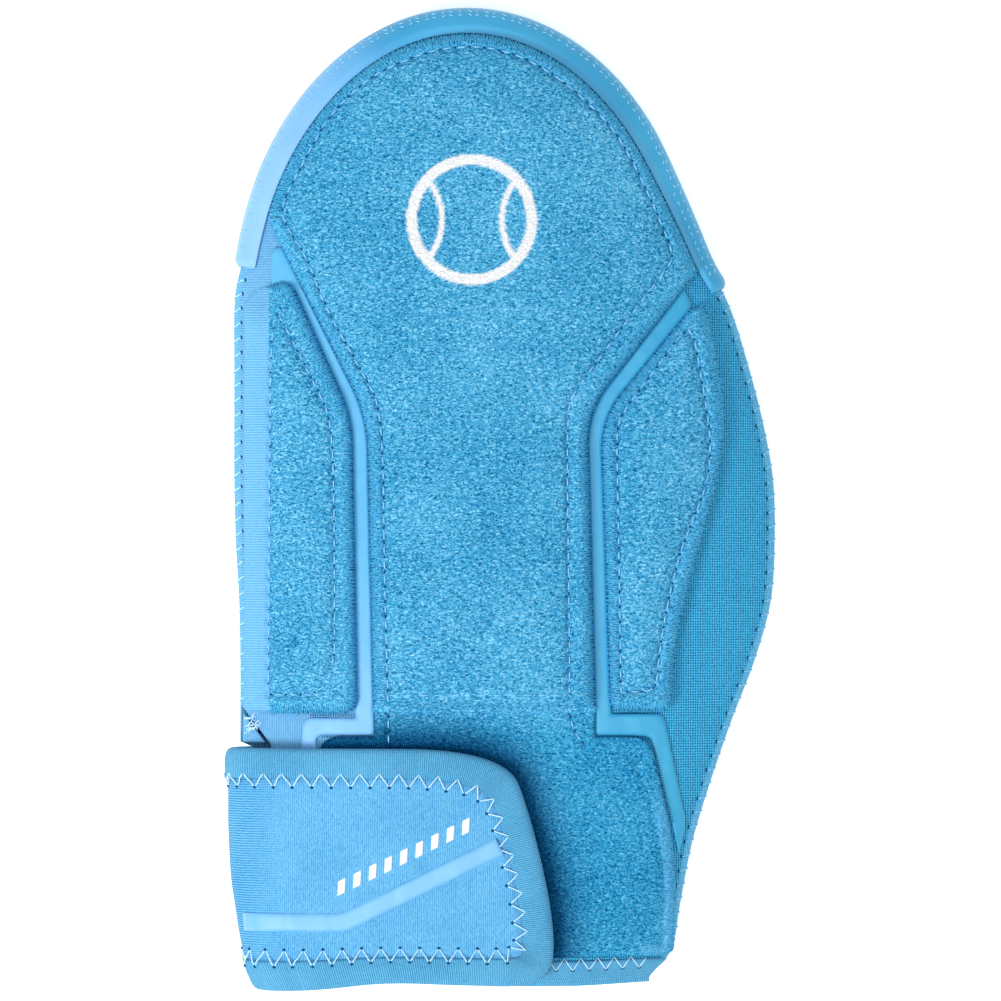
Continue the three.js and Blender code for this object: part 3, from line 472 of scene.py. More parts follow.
class Finish:
    """One material: a principled shader with the nodes that drive its colour and relief."""

    def __init__(self, name, roughness, specular=.35, sheen=0.0, sheen_roughness=.5):
        self.material = bpy.data.materials.new(name)
        self.material.use_nodes = True
        self.tree = self.material.node_tree
        self.shader = self.tree.nodes["Principled BSDF"]
        self.shader.inputs["Roughness"].default_value = roughness
        self.shader.inputs["Specular IOR Level"].default_value = specular
        self.shader.inputs["Sheen Weight"].default_value = sheen
        self.shader.inputs["Sheen Roughness"].default_value = sheen_roughness
        coordinates = self.node("TexCoord")
        self.place, self.map = coordinates.outputs["Object"], coordinates.outputs["UV"]

    def node(self, kind, sockets=(), **settings):
        made = self.tree.nodes.new("ShaderNode" + kind)
        for key, value in settings.items():
            setattr(made, key, value)
        for socket, value in dict(sockets).items():
            if isinstance(value, bpy.types.NodeSocket):
                self.tree.links.new(value, made.inputs[socket])
            else:
                made.inputs[socket].default_value = value
        return made

    def sum(self, operation, *values, clamp=False):
        return self.node("Math", dict(enumerate(values)), operation=operation, use_clamp=clamp).outputs[0]

    def axes(self, source=None):
        return self.node("SeparateXYZ", {0: source or self.place}).outputs

    def noise(self, size, detail=2.0, distortion=0.0, stretch=(1, 1, 1), source=None):
        """Uneven patches about size millimetres across."""
        mapped = self.node("Mapping", {"Vector": source or self.place, "Scale": stretch}).outputs[0]
        return self.node("TexNoise", {"Vector": mapped, "Scale": 1 / (size * MM), "Detail": detail,
                                      "Distortion": distortion}).outputs[0]

    def ripple(self, coordinate, pitch, wobble=None):
        """Ribs from 0 to 1 across a coordinate."""
        turns = self.sum("MULTIPLY", coordinate, 2 * math.pi / (pitch * MM))
        if wobble is not None:
            turns = self.sum("ADD", turns, wobble)
        return self.sum("MULTIPLY_ADD", self.sum("SINE", turns), .5, .5)

    def weighed(self, *parts):
        """The sum of some values, each times its weight."""
        *earlier, total = [self.sum("MULTIPLY", value, weight) for value, weight in parts]
        for part in reversed(earlier):
            total = self.sum("ADD", part, total)
        return total

    def passed(self, value, start, end):
        """From 0 to 1 as the value goes from start to end."""
        return self.node("MapRange", {"Value": value, "From Min": start, "From Max": end}).outputs[0]

    def blend(self, share, low, high):
        below = self.sum("MULTIPLY", self.sum("SUBTRACT", 1.0, share), low)
        return self.sum("ADD", below, self.sum("MULTIPLY", share, high))

    def ramp(self, value, *stops):
        made = self.node("ValToRGB", {"Fac": value})
        elements = made.color_ramp.elements
        while len(elements) < len(stops):
            elements.new(.5)
        for element, (position, colour) in zip(elements, stops):
            element.position, element.color = position, colour
        return made.outputs[0]

    def mix(self, share, low, high, blend_type="MIX"):
        made = self.node("Mix", {0: share, 6: low, 7: high}, data_type="RGBA", blend_type=blend_type)
        return made.outputs[2]

    def mark(self, name):
        """What set_mark wrote into the piece."""
        return self.node("Attribute", attribute_name=name).outputs["Fac"]

    def colour(self, value):
        if isinstance(value, bpy.types.NodeSocket):
            self.tree.links.new(value, self.shader.inputs["Base Color"])
        else:
            self.shader.inputs["Base Color"].default_value = value

    def relief(self, height, depth, strength=1.0):
        bump = self.node("Bump", {"Height": height, "Distance": depth * MM, "Strength": strength})
        self.tree.links.new(bump.outputs[0], self.shader.inputs["Normal"])


WHITE_PRINT = srgb(246, 249, 252)
BAND_LOW, BAND_HIGH = srgb(85, 163, 216), srgb(131, 195, 236)
# Painted shadow of the strap on the landing's loops: its darkest and its lightest blue
STRAP_SHADOW_LOW, STRAP_SHADOW_HIGH = srgb(0, 26, 68), srgb(0, 86, 138)


def loop_pile(name, low, middle, high, nub, upper=None):
    """Looped fabric: short lying loops over a darker ground, combed outwards where it rolls over a sewn rim."""
    f = Finish(name, .95, .04)
    worms = f.noise(nub, 2, .9, (1, 1.75, 1))
    tufts = f.noise(nub * .62, 1, .4, (1, 1.3, 1))
    loops = f.weighed((worms, .72), (tufts, .28))
    combed = f.noise(nub * .8, 1.5, .5, (2.0, .75, 1), f.map)
    rim = f.mark("rim")
    height = f.passed(f.blend(rim, loops, f.weighed((combed, .75), (tufts, .25))), .3, .68)
    broad = f.noise(24, 2)
    tone = f.sum("ADD", height, f.sum("MULTIPLY", f.sum("SUBTRACT", broad, .5), .35))
    colour = f.ramp(tone, (.08, low), (.5, middle), (.95, high))
    if upper:
        # Where the landing meets the centre pad it has the pad's blues
        below = f.passed(f.axes()[1], -.0595, -.0665)
        colour = f.mix(below, f.ramp(tone, *zip((.08, .5, .95), upper)), colour)
    ribs = f.ripple(f.axes()[1], .74, f.sum("MULTIPLY", f.noise(2, 1), 1.8))
    rolled = f.ramp(f.weighed((ribs, .5), (tufts, .6)), (.25, BAND_LOW), (.8, BAND_HIGH))
    band = f.mark("band")
    colour = f.mix(band, colour, rolled)
    # Painted shadow: around the strap's edge the loops take darker blues
    colour = f.mix(f.mark("strap_shadow"), colour, f.ramp(tone, (.08, STRAP_SHADOW_LOW), (.95, STRAP_SHADOW_HIGH)))
    printed = f.sum("MULTIPLY", f.mark("print"), f.sum("MULTIPLY_ADD", height, .25, .85), clamp=True)
    f.colour(f.mix(printed, colour, WHITE_PRINT))
    f.relief(f.blend(band, height, f.sum("MULTIPLY", ribs, .3)), .4)
    return f.material


def knit_panel(name, low, high, deep, pale):
    """Knit face of the foam rubber: cross ribs at the left, upright ribs low down, a square weave at the right."""
    f = Finish(name, .85, .1, .05, .5)
    x, y, _ = f.axes()
    wobble = f.sum("MULTIPLY", f.noise(2.2, 2), 2.2)
    cross = f.ripple(y, .73, wobble)
    upright = f.ripple(x, .65, wobble)
    stitch = f.sum("MULTIPLY", f.ripple(x, .52), .35)
    at_left = f.sum("LESS_THAN", x, -.02)
    low_down = f.sum("LESS_THAN", y, -.058)
    left_face = f.blend(low_down, f.sum("ADD", f.sum("MULTIPLY", cross, .75), stitch), upright)
    uneven = f.sum("MULTIPLY", f.noise(1.5, 2), 3.4)
    columns = f.ripple(x, .68, uneven)
    gaps = f.sum("MULTIPLY", columns, f.ripple(y, .74, uneven))
    square = f.sum("SUBTRACT", 1.0, f.weighed((gaps, .85), (columns, .15)))
    grain = f.noise(.6, 2)
    tone = f.weighed((left_face, .35), (grain, .6), (f.noise(18, 2), .2))
    weave = f.weighed((square, .7), (f.noise(.6, 3), .65))
    # The left face's blues are paler and the right weave's deeper: partly two different knits, partly painted light,
    # lit from the left and shaded towards the right
    colour = f.mix(at_left, f.ramp(weave, (.52, deep), (.98, pale)), f.ramp(tone, (.3, low), (.85, high)))
    f.colour(f.mix(f.mark("edge"), colour, f.ramp(grain, (.3, pale), (.7, high))))
    f.relief(f.blend(at_left, square, left_face), .2)
    return f.material


def knit_strap(name, low, high):
    """Knit face of the strap: broken upright ribs, and cross ribs near the fold."""
    f = Finish(name, .85, .1, .05, .5)
    x, y, _ = f.axes()
    wobble = f.sum("MULTIPLY", f.noise(1.2, 2), 5)
    upright = f.weighed((f.ripple(x, .6, wobble), .4), (f.noise(.6, 2, 0, (1.6, .6, 1)), .8))
    cross = f.sum("ADD", f.sum("MULTIPLY", f.ripple(y, .7, wobble), .75), .12)
    height = f.blend(f.passed(x, -.06, -.073), upright, cross)
    tone = f.weighed((height, .7), (f.noise(.55, 2), .25), (f.noise(16, 2), .2))
    f.colour(f.ramp(tone, (.35, low), (.9, high)))
    f.relief(height, .16)
    return f.material


def ribbed_binding(name, low, high):
    """Folded tape: ribs across it and finer ones along it."""
    f = Finish(name, .85, .1, .05, .5)
    along, inward, _ = f.axes(f.map)
    ribs = f.ripple(along, .62, f.sum("MULTIPLY", f.noise(1.6, 2), 1.6))
    fine = f.ripple(inward, .5)
    height = f.weighed((ribs, .8), (fine, .2))
    tone = f.weighed((height, .5), (f.noise(.8, 2), .3), (f.noise(14, 2), .25))
    f.colour(f.ramp(tone, (.2, low), (.85, high)))
    f.relief(height, .16)
    return f.material


def pressed_film(name, low, high, shaded_low, shaded_high, lit_low, lit_high):
    """Smooth satin film with painted light: paler towards the wrist on the finger side, where the key light falls from
    the lower left, and deeper towards the thumb side as painted shade.
    """
    f = Finish(name, .42, .35)
    x, y, _ = f.axes()
    creases = f.noise(7, 3, .6, (1, .35, 1))
    weave = f.sum("MULTIPLY", f.ripple(x, .5), f.ripple(y, .5))
    tone = f.weighed((creases, .85), (weave, .08))
    # Painted light and shade: paler at the lower left, deeper towards the right
    thumb_side, wrist = f.passed(x, -.045, .025), f.passed(y, -.02, -.062)
    finger_side = f.mix(wrist, f.ramp(tone, (.25, low), (.75, high)), f.ramp(tone, (.25, lit_low), (.75, lit_high)))
    f.colour(f.mix(thumb_side, finger_side, f.ramp(tone, (.25, shaded_low), (.75, shaded_high))))
    f.relief(f.sum("ADD", creases, f.sum("MULTIPLY", weave, .06)), .12)
    return f.material


def edge_rubber(name, low, high, lit_low, lit_high):
    """Satin rubber with a painted highlight: paler along the finger side, where the key light from the left falls on
    it.
    """
    f = Finish(name, .46, .4)
    haze, grain = f.noise(30, 3), f.noise(.35, 2)
    tone = f.weighed((haze, .85), (grain, .15))
    # Painted highlight: paler blues along the finger side
    finger_side = f.passed(f.axes()[0], -.028, -.062)
    f.colour(f.mix(finger_side, f.ramp(tone, (.3, low), (.7, high)), f.ramp(tone, (.3, lit_low), (.7, lit_high))))
    f.relief(grain, .03)
    return f.material


def sewing_thread(name, low, high):
    f = Finish(name, .6, .3)
    f.colour(f.ramp(f.noise(.5, 2), (.3, low), (.7, high)))
    f.relief(f.noise(.22, 1), .06)
    return f.material


def plain(name, low, high, size, roughness, depth):
    """A single finish with an even grain about size millimetres across."""
    f = Finish(name, roughness, .1)
    grain = f.noise(size, 3)
    f.colour(f.ramp(grain, (.3, low), (.7, high)))
    f.relief(grain, depth)
    return f.material


PAD_BLUES = srgb(0, 92, 146), srgb(62, 166, 216), srgb(140, 218, 252)
PILE = loop_pile("loop_pile", *PAD_BLUES, .92)
LANDING_PILE = loop_pile("landing_pile", srgb(0, 86, 140), srgb(42, 154, 206), srgb(110, 202, 242), .85, PAD_BLUES)
KNIT = knit_panel("knit_neoprene", srgb(79, 157, 212), srgb(132, 193, 233), srgb(0, 80, 132), srgb(68, 178, 224))
STRAP_KNIT = knit_strap("strap_knit", srgb(42, 132, 190), srgb(122, 196, 238))
BINDING = ribbed_binding("knit_binding", srgb(32, 120, 170), srgb(114, 194, 234))
# Film blues: the middle pair, a painted shaded pair for the thumb side, and a painted lit pair for the wrist end
FILM = pressed_film("pressed_film", srgb(80, 170, 216), srgb(98, 184, 226), srgb(51, 156, 202), srgb(65, 173, 212),
                    srgb(118, 182, 238), srgb(136, 196, 246))
STRIPE_FILM = pressed_film("stripe_film", *[srgb(108, 176, 228), srgb(130, 192, 240)] * 3)
# Rubber blues: its own pair, and a painted highlight pair for the finger side
RUBBER = edge_rubber("edge_rubber", srgb(48, 152, 202), srgb(70, 172, 218), srgb(126, 182, 240), srgb(146, 196, 247))
DASHES = plain("rubber_dashes", srgb(118, 198, 238), srgb(160, 220, 250), .6, .5, .02)
THREAD = sewing_thread("pale_thread", srgb(160, 216, 246), srgb(208, 238, 254))
TOP_THREAD = sewing_thread("blue_thread", srgb(96, 186, 234), srgb(156, 220, 252))
# Painted shade: the dark beads at the needle holes stand for the shade inside them
HOLE_SHADE = plain("needle_hole_shade", srgb(2, 70, 116), srgb(8, 86, 136), .6, .95, .05)
HOOKS = plain("hook_tape", srgb(50, 128, 176), srgb(84, 160, 204), .7, .7, .3)
PRINT = plain("white_print", srgb(240, 247, 252), WHITE_PRINT, .5, .6, .06)
FIBRE = plain("pile_fibre", srgb(40, 168, 222), srgb(112, 216, 254), .5, .95, .02)


# Whip stitches: one at each place along the two sides of the body

def side_edge(sign, low_y, high_y):
    y = np.linspace(low_y, high_y, 700)
    return np.stack([edge_x(y, sign), y], -1)


# The side, and the heights where its row of stitches starts and ends
WHIP_ROWS = ((-1, -56.5, 65.0), (1, -131.0, 58.5))
whip_sides = {}
for sign, low_y, high_y in WHIP_ROWS:
    spots, heading, _ = walk(side_edge(sign, low_y, high_y), WHIP_PITCH)
    outward = np.stack([sign * heading[:, 1], -sign * heading[:, 0]], -1)
    whip_sides[sign] = (spots, heading, outward)
whip_holes = np.vstack([spots - outward * WHIP_INSET for spots, _, outward in whip_sides.values()])


def hole_dent(x, y, depth=.55, radius=.95):
    """How far the whip stitches' holes pull the panel in."""
    dent = np.zeros_like(x)
    for hx, hy in whip_holes:
        near = (np.abs(x - hx) < 3) & (np.abs(y - hy) < 3)
        dent[near] += depth * np.exp(-((x[near] - hx) ** 2 + (y[near] - hy) ** 2) / radius**2)
    return dent


# Body panels

# How far in a panel's rim is rounded, and how deep it falls there at its seam and where it is cut
EDGE_ROUND, SEAM_FALL, CUT_FALL = 2.1, 2.1, 1.0


def body_ys(low, step):
    """Rows over the body's length, closer together towards the tips."""
    arc_start = TIP_Y - TIP_ARC
    end = math.asin((TIP_Y - .12 - arc_start) / TIP_ARC)
    straight = np.linspace(low, arc_start, int((arc_start - low) / step))
    return np.concatenate([straight, arc_start + TIP_ARC * np.sin(np.linspace(0, end, int(1.5 * TIP_ARC / step))[1:])])


def panel_grid(ys, lefts, columns):
    share = np.sin(np.linspace(-1, 1, columns) * math.pi * .46) / math.sin(math.pi * .46)
    rights = edge_x(ys, 1)
    x = ((lefts + rights) / 2)[:, None] + ((rights - lefts) / 2)[:, None] * share
    return x, np.repeat(ys[:, None], columns, 1)


def slit_x(y):
    along = along_of(y)
    cut = np.interp(along, [row[0] for row in SLIT_ROWS], [row[1] for row in SLIT_ROWS]) * WIDTH
    return np.where(along < SLIT_ROWS[-1][0], np.maximum(cut, edge_x(y, -1)), edge_x(y, -1))


def edge_drop(x, lefts, rights, depth):
    """How far the rounded rim of a panel has come down at x."""
    inset = np.minimum(x - lefts[:, None], rights[:, None] - x)
    share = 1 - np.clip(inset / EDGE_ROUND, 0, 1)
    return depth * (1 - np.sqrt(1 - share**2))


def body_panel(name, front):
    """The front or the back of the body: a foam wall that meets the other half at the seam."""
    step, columns = (1.0, 170) if front else (1.5, 110)
    ys = body_ys(PANEL_END_Y, step)
    notch = along_of(ys) < BACK_STEP
    lefts = slit_x(ys) if front else np.where(notch, STRAP_SEAM * WIDTH + SEAM_GAP / 2, edge_x(ys, -1))
    x, y = panel_grid(ys, lefts, columns)
    rights = edge_x(ys, 1)
    sign = 1 if front else -1
    surface = front_z if front else back_z
    seam = SEAM_HEIGHT + sign * SEAM_GAP / 2
    drop = edge_drop(x, lefts, rights, SEAM_FALL) + hole_dent(x, y)
    cut = ((y < along_y(SLIT_ROWS[-1][0])) if front else notch[:, None]) & (x < FINGER_X)
    drop = np.where(cut, edge_drop(x, lefts, rights, CUT_FALL), drop)
    inset = np.minimum(x - lefts[:, None], rights[:, None] - x)
    puffed = .22 * wander(x, y, 31, 1.1) * np.clip((inset - 2) / 5, 0, 1)
    z = surface(x, y) + sign * ((puffed if front else 0) - drop)
    z = np.maximum(z, seam + .15) if front else np.clip(z, 0, seam - .15)
    xi, yi = thinned(len(ys) // 3, 60, x, y)
    inner = surface(xi, yi) - sign * PANEL_WALL
    inner = np.maximum(seam, inner) if front else np.minimum(seam, inner)
    sewn = (np.abs(width_share(xi, yi)) > .9995) | (yi > TIP_Y - .2)
    inner = np.where(sewn, seam, inner)
    piece = closed_piece(name, np.stack([x, y, z], -1), np.stack([xi, yi, inner], -1))
    set_mark(piece, "edge", .75 * (1 - smooth_step(inset, 1.2, 2.4)) * ~cut, np.zeros_like(xi))
    return dress(piece, KNIT, ["front_panel" if front else "back_panel"])


body_panel("body_front", True)
body_panel("body_back", False)


def whip_stitches():
    """Each stitch leaves its hole on the front, goes over the seam and down to the back at a slant."""
    holes, hole_bases = [], []
    for sign, (spots, heading, outward) in whip_sides.items():
        slant, paths = .6 if sign < 0 else -.5, []
        for spot, run, out in zip(spots, heading, outward):
            def at(inset, shift, z_of):
                p = spot - out * inset + run * shift
                return [p[0], p[1], z_of(p[0], p[1])]
            top = lambda drop: (lambda px, py: float(front_z(px, py)) - drop)
            under = lambda rise: (lambda px, py: float(back_z(px, py)) + rise)
            level = lambda z: (lambda px, py: z)
            paths.append([
                at(WHIP_INSET + .2, slant, top(.7)),
                at(WHIP_INSET - .2, slant * .8, top(.3)),
                at(1.2, slant * .1, top(.2)),
                at(.45, -slant * .8, top(.8)),
                at(-.1, -slant * 1.3, level(SEAM_HEIGHT + 1.3)),
                at(-.2, -slant * 1.5, level(SEAM_HEIGHT)),
                at(-.1, -slant * 1.7, level(SEAM_HEIGHT - 1.3)),
                at(.5, -slant * 2, under(.7)),
                at(WHIP_INSET, -slant * 2.2, under(.6))])
            holes.append(at(WHIP_INSET + .3, slant * 1.1, top(.5)))
            hole_bases.append(np.stack([[*run, 0], [*out, 0], [0, 0, 1]]))
        side, thread = ("finger", THREAD) if sign < 0 else ("thumb", TOP_THREAD)
        threads("whip_stitches_" + side, paths, WHIP_RADIUS, thread)
    scatter("whip_holes", np.array(holes), np.array(hole_bases, float), WHIP_HOLE, HOLE_SHADE)


whip_stitches()


# Edge rubber around the finger tips

def rubber_section(spots, outward, outer):
    """Points of the rubber's section at each place, from its front flange round the edge to its back flange."""
    half = edge_half(spots[:, 1]) + BED_GAP
    wall = BUMPER_WALL if outer else 0
    side = BUMPER_PROUD if outer else BUMPER_SIDE_GAP

    def at(inset, height):
        return np.column_stack([spots - outward * inset, np.broadcast_to(height, len(spots))])

    def flange(share, sign, thickness):
        p = spots - outward * flange_width(spots) * share
        surface = (front_z if sign > 0 else back_z)(p[:, 0], p[:, 1])
        return np.column_stack([p, np.maximum(0, surface + sign * (BED_GAP + thickness))])

    # The flange's lip: shares of its width, and heights over its bed
    lips = ((1, .1), (.995, BUMPER_LIP * .75), (.94, BUMPER_LIP)) if outer else ((1, 0), (.99, 0), (.94, 0))

    def half_section(sign):
        return [flange(share, sign, thickness) for share, thickness in (*lips, (.7, wall * .8), (.45, wall))] + [
            at(-side * .4, SEAM_HEIGHT + sign * (half + wall * .8)),
            at(-side * .95, SEAM_HEIGHT + sign * (half + wall * .3) * .6)]
    section = half_section(1) + [at(-side, SEAM_HEIGHT)] + half_section(-1)[::-1]
    return np.stack(section, 1)


def refined(points, times):
    """Each row of points made into a smooth curve through the same places."""
    count = points.shape[1]
    padded = np.concatenate([2 * points[:, :1] - points[:, 1:2], points, 2 * points[:, -1:] - points[:, -2:-1]], 1)
    pieces = []
    for i in range(count - 1):
        a, b, c, d = (padded[:, i + k] for k in range(4))
        t = np.linspace(0, 1, times, endpoint=False)[None, :, None]
        a, b, c, d = (v[:, None, :] for v in (a, b, c, d))
        pieces.append(.5 * (2 * b + (c - a) * t + (2 * a - 5 * b + 4 * c - d) * t**2 + (3 * b - a - 3 * c + d) * t**3))
    return np.concatenate(pieces + [points[:, -1:]], 1)


RUBBER_PLACES = 321
rubber_spots, rubber_outward = edge_path(*BUMPER_ENDS, RUBBER_PLACES)
rubber_outer = refined(rubber_section(rubber_spots, rubber_outward, True), 3)
rubber_bed = rubber_section(rubber_spots, rubber_outward, False)
rubber_inner = rubber_bed[::2]
# Both ends of the rubber thin out to its bed
tapered = .12 + .88 * np.clip(from_ends(RUBBER_PLACES) / 3, 0, 1)[:, None, None] ** .5
rubber_bed = refined(rubber_bed, 3)
rubber_outer = rubber_bed + (rubber_outer - rubber_bed) * tapered
rubber_outer[..., 2] = np.maximum(rubber_outer[..., 2], 0)
rubber = closed_piece("edge_rubber_piece", rubber_outer, rubber_inner)
dress(rubber, RUBBER, ["tip_bumper"])


# Each row of dashes: how far in from the edge it lies, its two leans in degrees, and the dashes' length
DASH_ROWS = ((-1.0, (72, -30), 1.6), (.5, (24, -34), 1.3))
DASH_PITCH, DASH_WIDTH, DASH_HEIGHT, DASH_MARGIN = 2.45, .42, .3, 5.0


def rubber_dashes():
    """Two rows of short raised dashes that lean either way in turn."""
    arc = arc_along(rubber_spots)
    middle = rubber_outer.shape[1] // 2
    centres, bases, sizes = [], [], []
    for inset, leans, length in DASH_ROWS:
        for turn, s in enumerate(np.arange(DASH_MARGIN, arc[-1] - DASH_MARGIN, DASH_PITCH)):
            i = int(np.searchsorted(arc, s))
            row = rubber_outer[i]
            insets = -((row[:, :2] - rubber_spots[i]) @ rubber_outward[i])[:middle + 1]
            j = int(np.argmin(np.abs(insets - inset)))
            out = row[j + 1] - row[j - 1]
            out /= np.linalg.norm(out)
            run = rubber_outer[min(i + 1, RUBBER_PLACES - 1), j] - rubber_outer[i - 1, j]
            run /= np.linalg.norm(run)
            up = np.cross(run, out)
            up *= np.sign(up[2])
            run = np.cross(out, up)
            centres.append(row[j] + up * .02)
            lean = math.radians(leans[turn % 2])
            bases.append([run * math.cos(lean) + out * math.sin(lean), out * math.cos(lean) - run * math.sin(lean), up])
            sizes.append([length, DASH_WIDTH, DASH_HEIGHT])
    scatter("edge_rubber_dashes", np.array(centres), np.array(bases), np.array(sizes), DASHES)


rubber_dashes()


# Pads

def rim_rise(full, inset):
    """Height of a sewn pad's rounded rim, an inset in from its outline."""
    share = np.clip(inset / RIM_ROUND, 0, 1)
    return RIM_HEIGHT + (full - RIM_HEIGHT) * np.sqrt(1 - (1 - share) ** 2)


def pad_rows(low, high, cell, end=5):
    """Rows over a pad, closer together towards its two ends."""
    ends = end * np.linspace(0, 1, max(6, int(2 * end / cell)), endpoint=False) ** 2
    middle = np.linspace(low + end, high - end, max(4, int((high - low - 2 * end) / cell)))
    return np.concatenate([low + ends, middle, high - ends[::-1]])


def pad_spots(outline, cell, columns):
    ys = pad_rows(outline[:, 1].min() + .04, outline[:, 1].max() - .04, cell)
    spans = np.array([span_at(outline, y) for y in ys])
    share = np.sin(np.linspace(-1, 1, columns) * math.pi * .4) / math.sin(math.pi * .4)
    x = spans.mean(1)[:, None] + (spans[:, 1] - spans[:, 0])[:, None] / 2 * share
    return x, np.repeat(ys[:, None], columns, 1)


SWELL_FRAMES, SWELL_PRESSURE, SWELL_CAP = 20, 4.0, .7
# Left of this line the finger side pad is rolled in knit instead of loop fabric
BAND_EDGE = -65.4


class Pad:
    """A sewn foam pad over the front panel, crowned between its stitches."""

    def __init__(self, name, node, outline, stitch, full, base, cell, columns, runs_on=False):
        self.name, self.node, self.outline, self.stitch = name, node, outline, softened(stitch, 2)
        self.full, self.base, self.cell, self.columns, self.runs_on = full, base, cell, columns, runs_on
        self.low = outline[:, 1].min()
        self.rim_line = np.vstack([outline, outline[:1]])
        if runs_on:
            # Its lower end has no sewn rim: the fabric runs on over the landing
            reach = np.linalg.norm(np.roll(outline, -1, 0) - outline, axis=1)
            lowest = (outline[:, 1] < self.low + .05) & (np.roll(outline, -1, 0)[:, 1] < self.low + .05)
            self.rim_line = np.roll(outline, -int(np.argmax(reach * lowest)) - 1, 0)

    def lift(self, x, y):
        inset, self.arc = nearest_on(self.rim_line, x, y, closed=False)
        away, place = nearest_on(self.stitch, x, y, closed=False)
        pull = .75 + .35 * np.cos(2 * math.pi * place / TOP_PITCH)
        groove = GROOVE_DEPTH * pull * np.exp(-(away / GROOVE_WIDTH) ** 2)
        groove = groove + HOLLOW_DEPTH * np.exp(-(away / HOLLOW_WIDTH) ** 2)
        crown = PAD_CROWN * np.clip((inset - 5) / 6, 0, 1)
        self.inset = inset
        lift = rim_rise(self.full, inset) - groove + crown + .1 * wander(x, y, 17, 2.3)
        return self.eased(y, lift) if self.runs_on else lift

    def eased(self, y, lift):
        """The lower end comes down to the landing."""
        return LANDING_HEIGHT + .05 + (lift - LANDING_HEIGHT - .05) * smooth_step(y, self.low - .3, self.low + 3.8)

    def surface(self, x, y):
        return front_z(x, y) + self.base + self.lift(x, y)

    def top_at(self, spots):
        """Height of the finished pad at each spot."""
        x, y, z = self.finished
        return np.array([z.flat[np.argmin((x - a) ** 2 + (y - b) ** 2)] for a, b in spots])

    def build(self, print_mark=None):
        x, y = pad_spots(self.outline, self.cell, self.columns)
        z = self.surface(x, y)
        inset, arc = self.inset, self.arc
        z = z + self.swelling(x, y, z)
        # The rolled knit at the finger side pad's upper corner runs out flat on the panel
        corner = smooth_step(BAND_EDGE - x, -1.2, 1) * (1 - smooth_step(self.outline[:, 1].max() - y, 1, 13))
        foot = front_z(x, y) + self.base
        z = foot + (z - foot) * (1 - .85 * corner)
        self.finished = x, y, z
        fringe = np.clip(1 - inset / .6, 0, 1)
        rim = np.clip((3.6 + .5 * wander(x, y, 3.1, .4) - inset) / 1.0, 0, 1)
        xi, yi, arc_i, inset_i = thinned(x.shape[0] // 4, x.shape[1] // 4, x, y, arc, inset)
        under = np.stack([xi, yi, front_z(xi, yi) + self.base], -1)
        z = np.maximum(z - .5 * fringe, foot + .2)
        piece = closed_piece(self.name, np.stack([x, y, z], -1), under)
        set_map(piece, np.stack([arc, inset], -1), np.stack([arc_i, inset_i], -1))
        set_mark(piece, "rim", rim, np.ones_like(xi))
        marks = np.zeros_like(x) if print_mark is None else print_mark(x, y)
        set_mark(piece, "print", marks, np.zeros_like(xi))
        band = smooth_step(BAND_EDGE - x, -.25, .25)
        set_mark(piece, "band", band, smooth_step(BAND_EDGE - xi, -.25, .25))
        return dress(piece, PILE, [self.node])

    def swelling(self, x, y, z):
        """Lets a coarse copy of the pad swell as cloth, and reads how far its top rose.

        The copy is held at its rim, its foot and its stitches."""
        ui, uj = (np.unique(np.r_[0:n:4, n - 1]) for n in z.shape)
        pick = np.ix_(ui, uj)
        xi, yi, zi = x[pick], y[pick], z[pick]
        inset, _ = nearest_on(self.outline, xi, yi)
        away, _ = nearest_on(self.stitch, xi, yi, closed=False)
        foot = np.stack([xi, yi, front_z(xi, yi) + self.base], -1)
        bag = closed_piece("swelling", np.stack([xi, yi, zi], -1), foot)
        held = np.concatenate([((inset < 1.6) | (away < 1.3)).ravel(), np.ones(xi.size, bool)])
        bag.vertex_groups.new(name="held").add([int(i) for i in np.flatnonzero(held)], 1.0, "REPLACE")
        cloth = bag.modifiers.new("Cloth", "CLOTH")
        cloth.settings.vertex_group_mass = "held"
        cloth.settings.use_pressure = True
        cloth.settings.uniform_pressure_force = SWELL_PRESSURE
        cloth.settings.effector_weights.gravity = 0
        cloth.point_cache.frame_start, cloth.point_cache.frame_end = 1, SWELL_FRAMES
        for number in range(1, SWELL_FRAMES + 1):
            bpy.context.scene.frame_set(number)
        swollen = bag.evaluated_get(bpy.context.evaluated_depsgraph_get()).to_mesh()
        spots = np.empty(len(swollen.vertices) * 3)
        swollen.vertices.foreach_get("co", spots)
        rise = (spots.reshape(-1, 3)[:xi.size, 2] / MM).reshape(xi.shape) - zi
        bpy.data.objects.remove(bag)
        bpy.context.scene.frame_set(1)
        rise = SWELL_CAP * np.tanh(rise / SWELL_CAP)
        rise = np.array([np.interp(np.arange(z.shape[1]), uj, row) for row in rise])
        return np.array([np.interp(np.arange(z.shape[0]), ui, column) for column in rise.T]).T

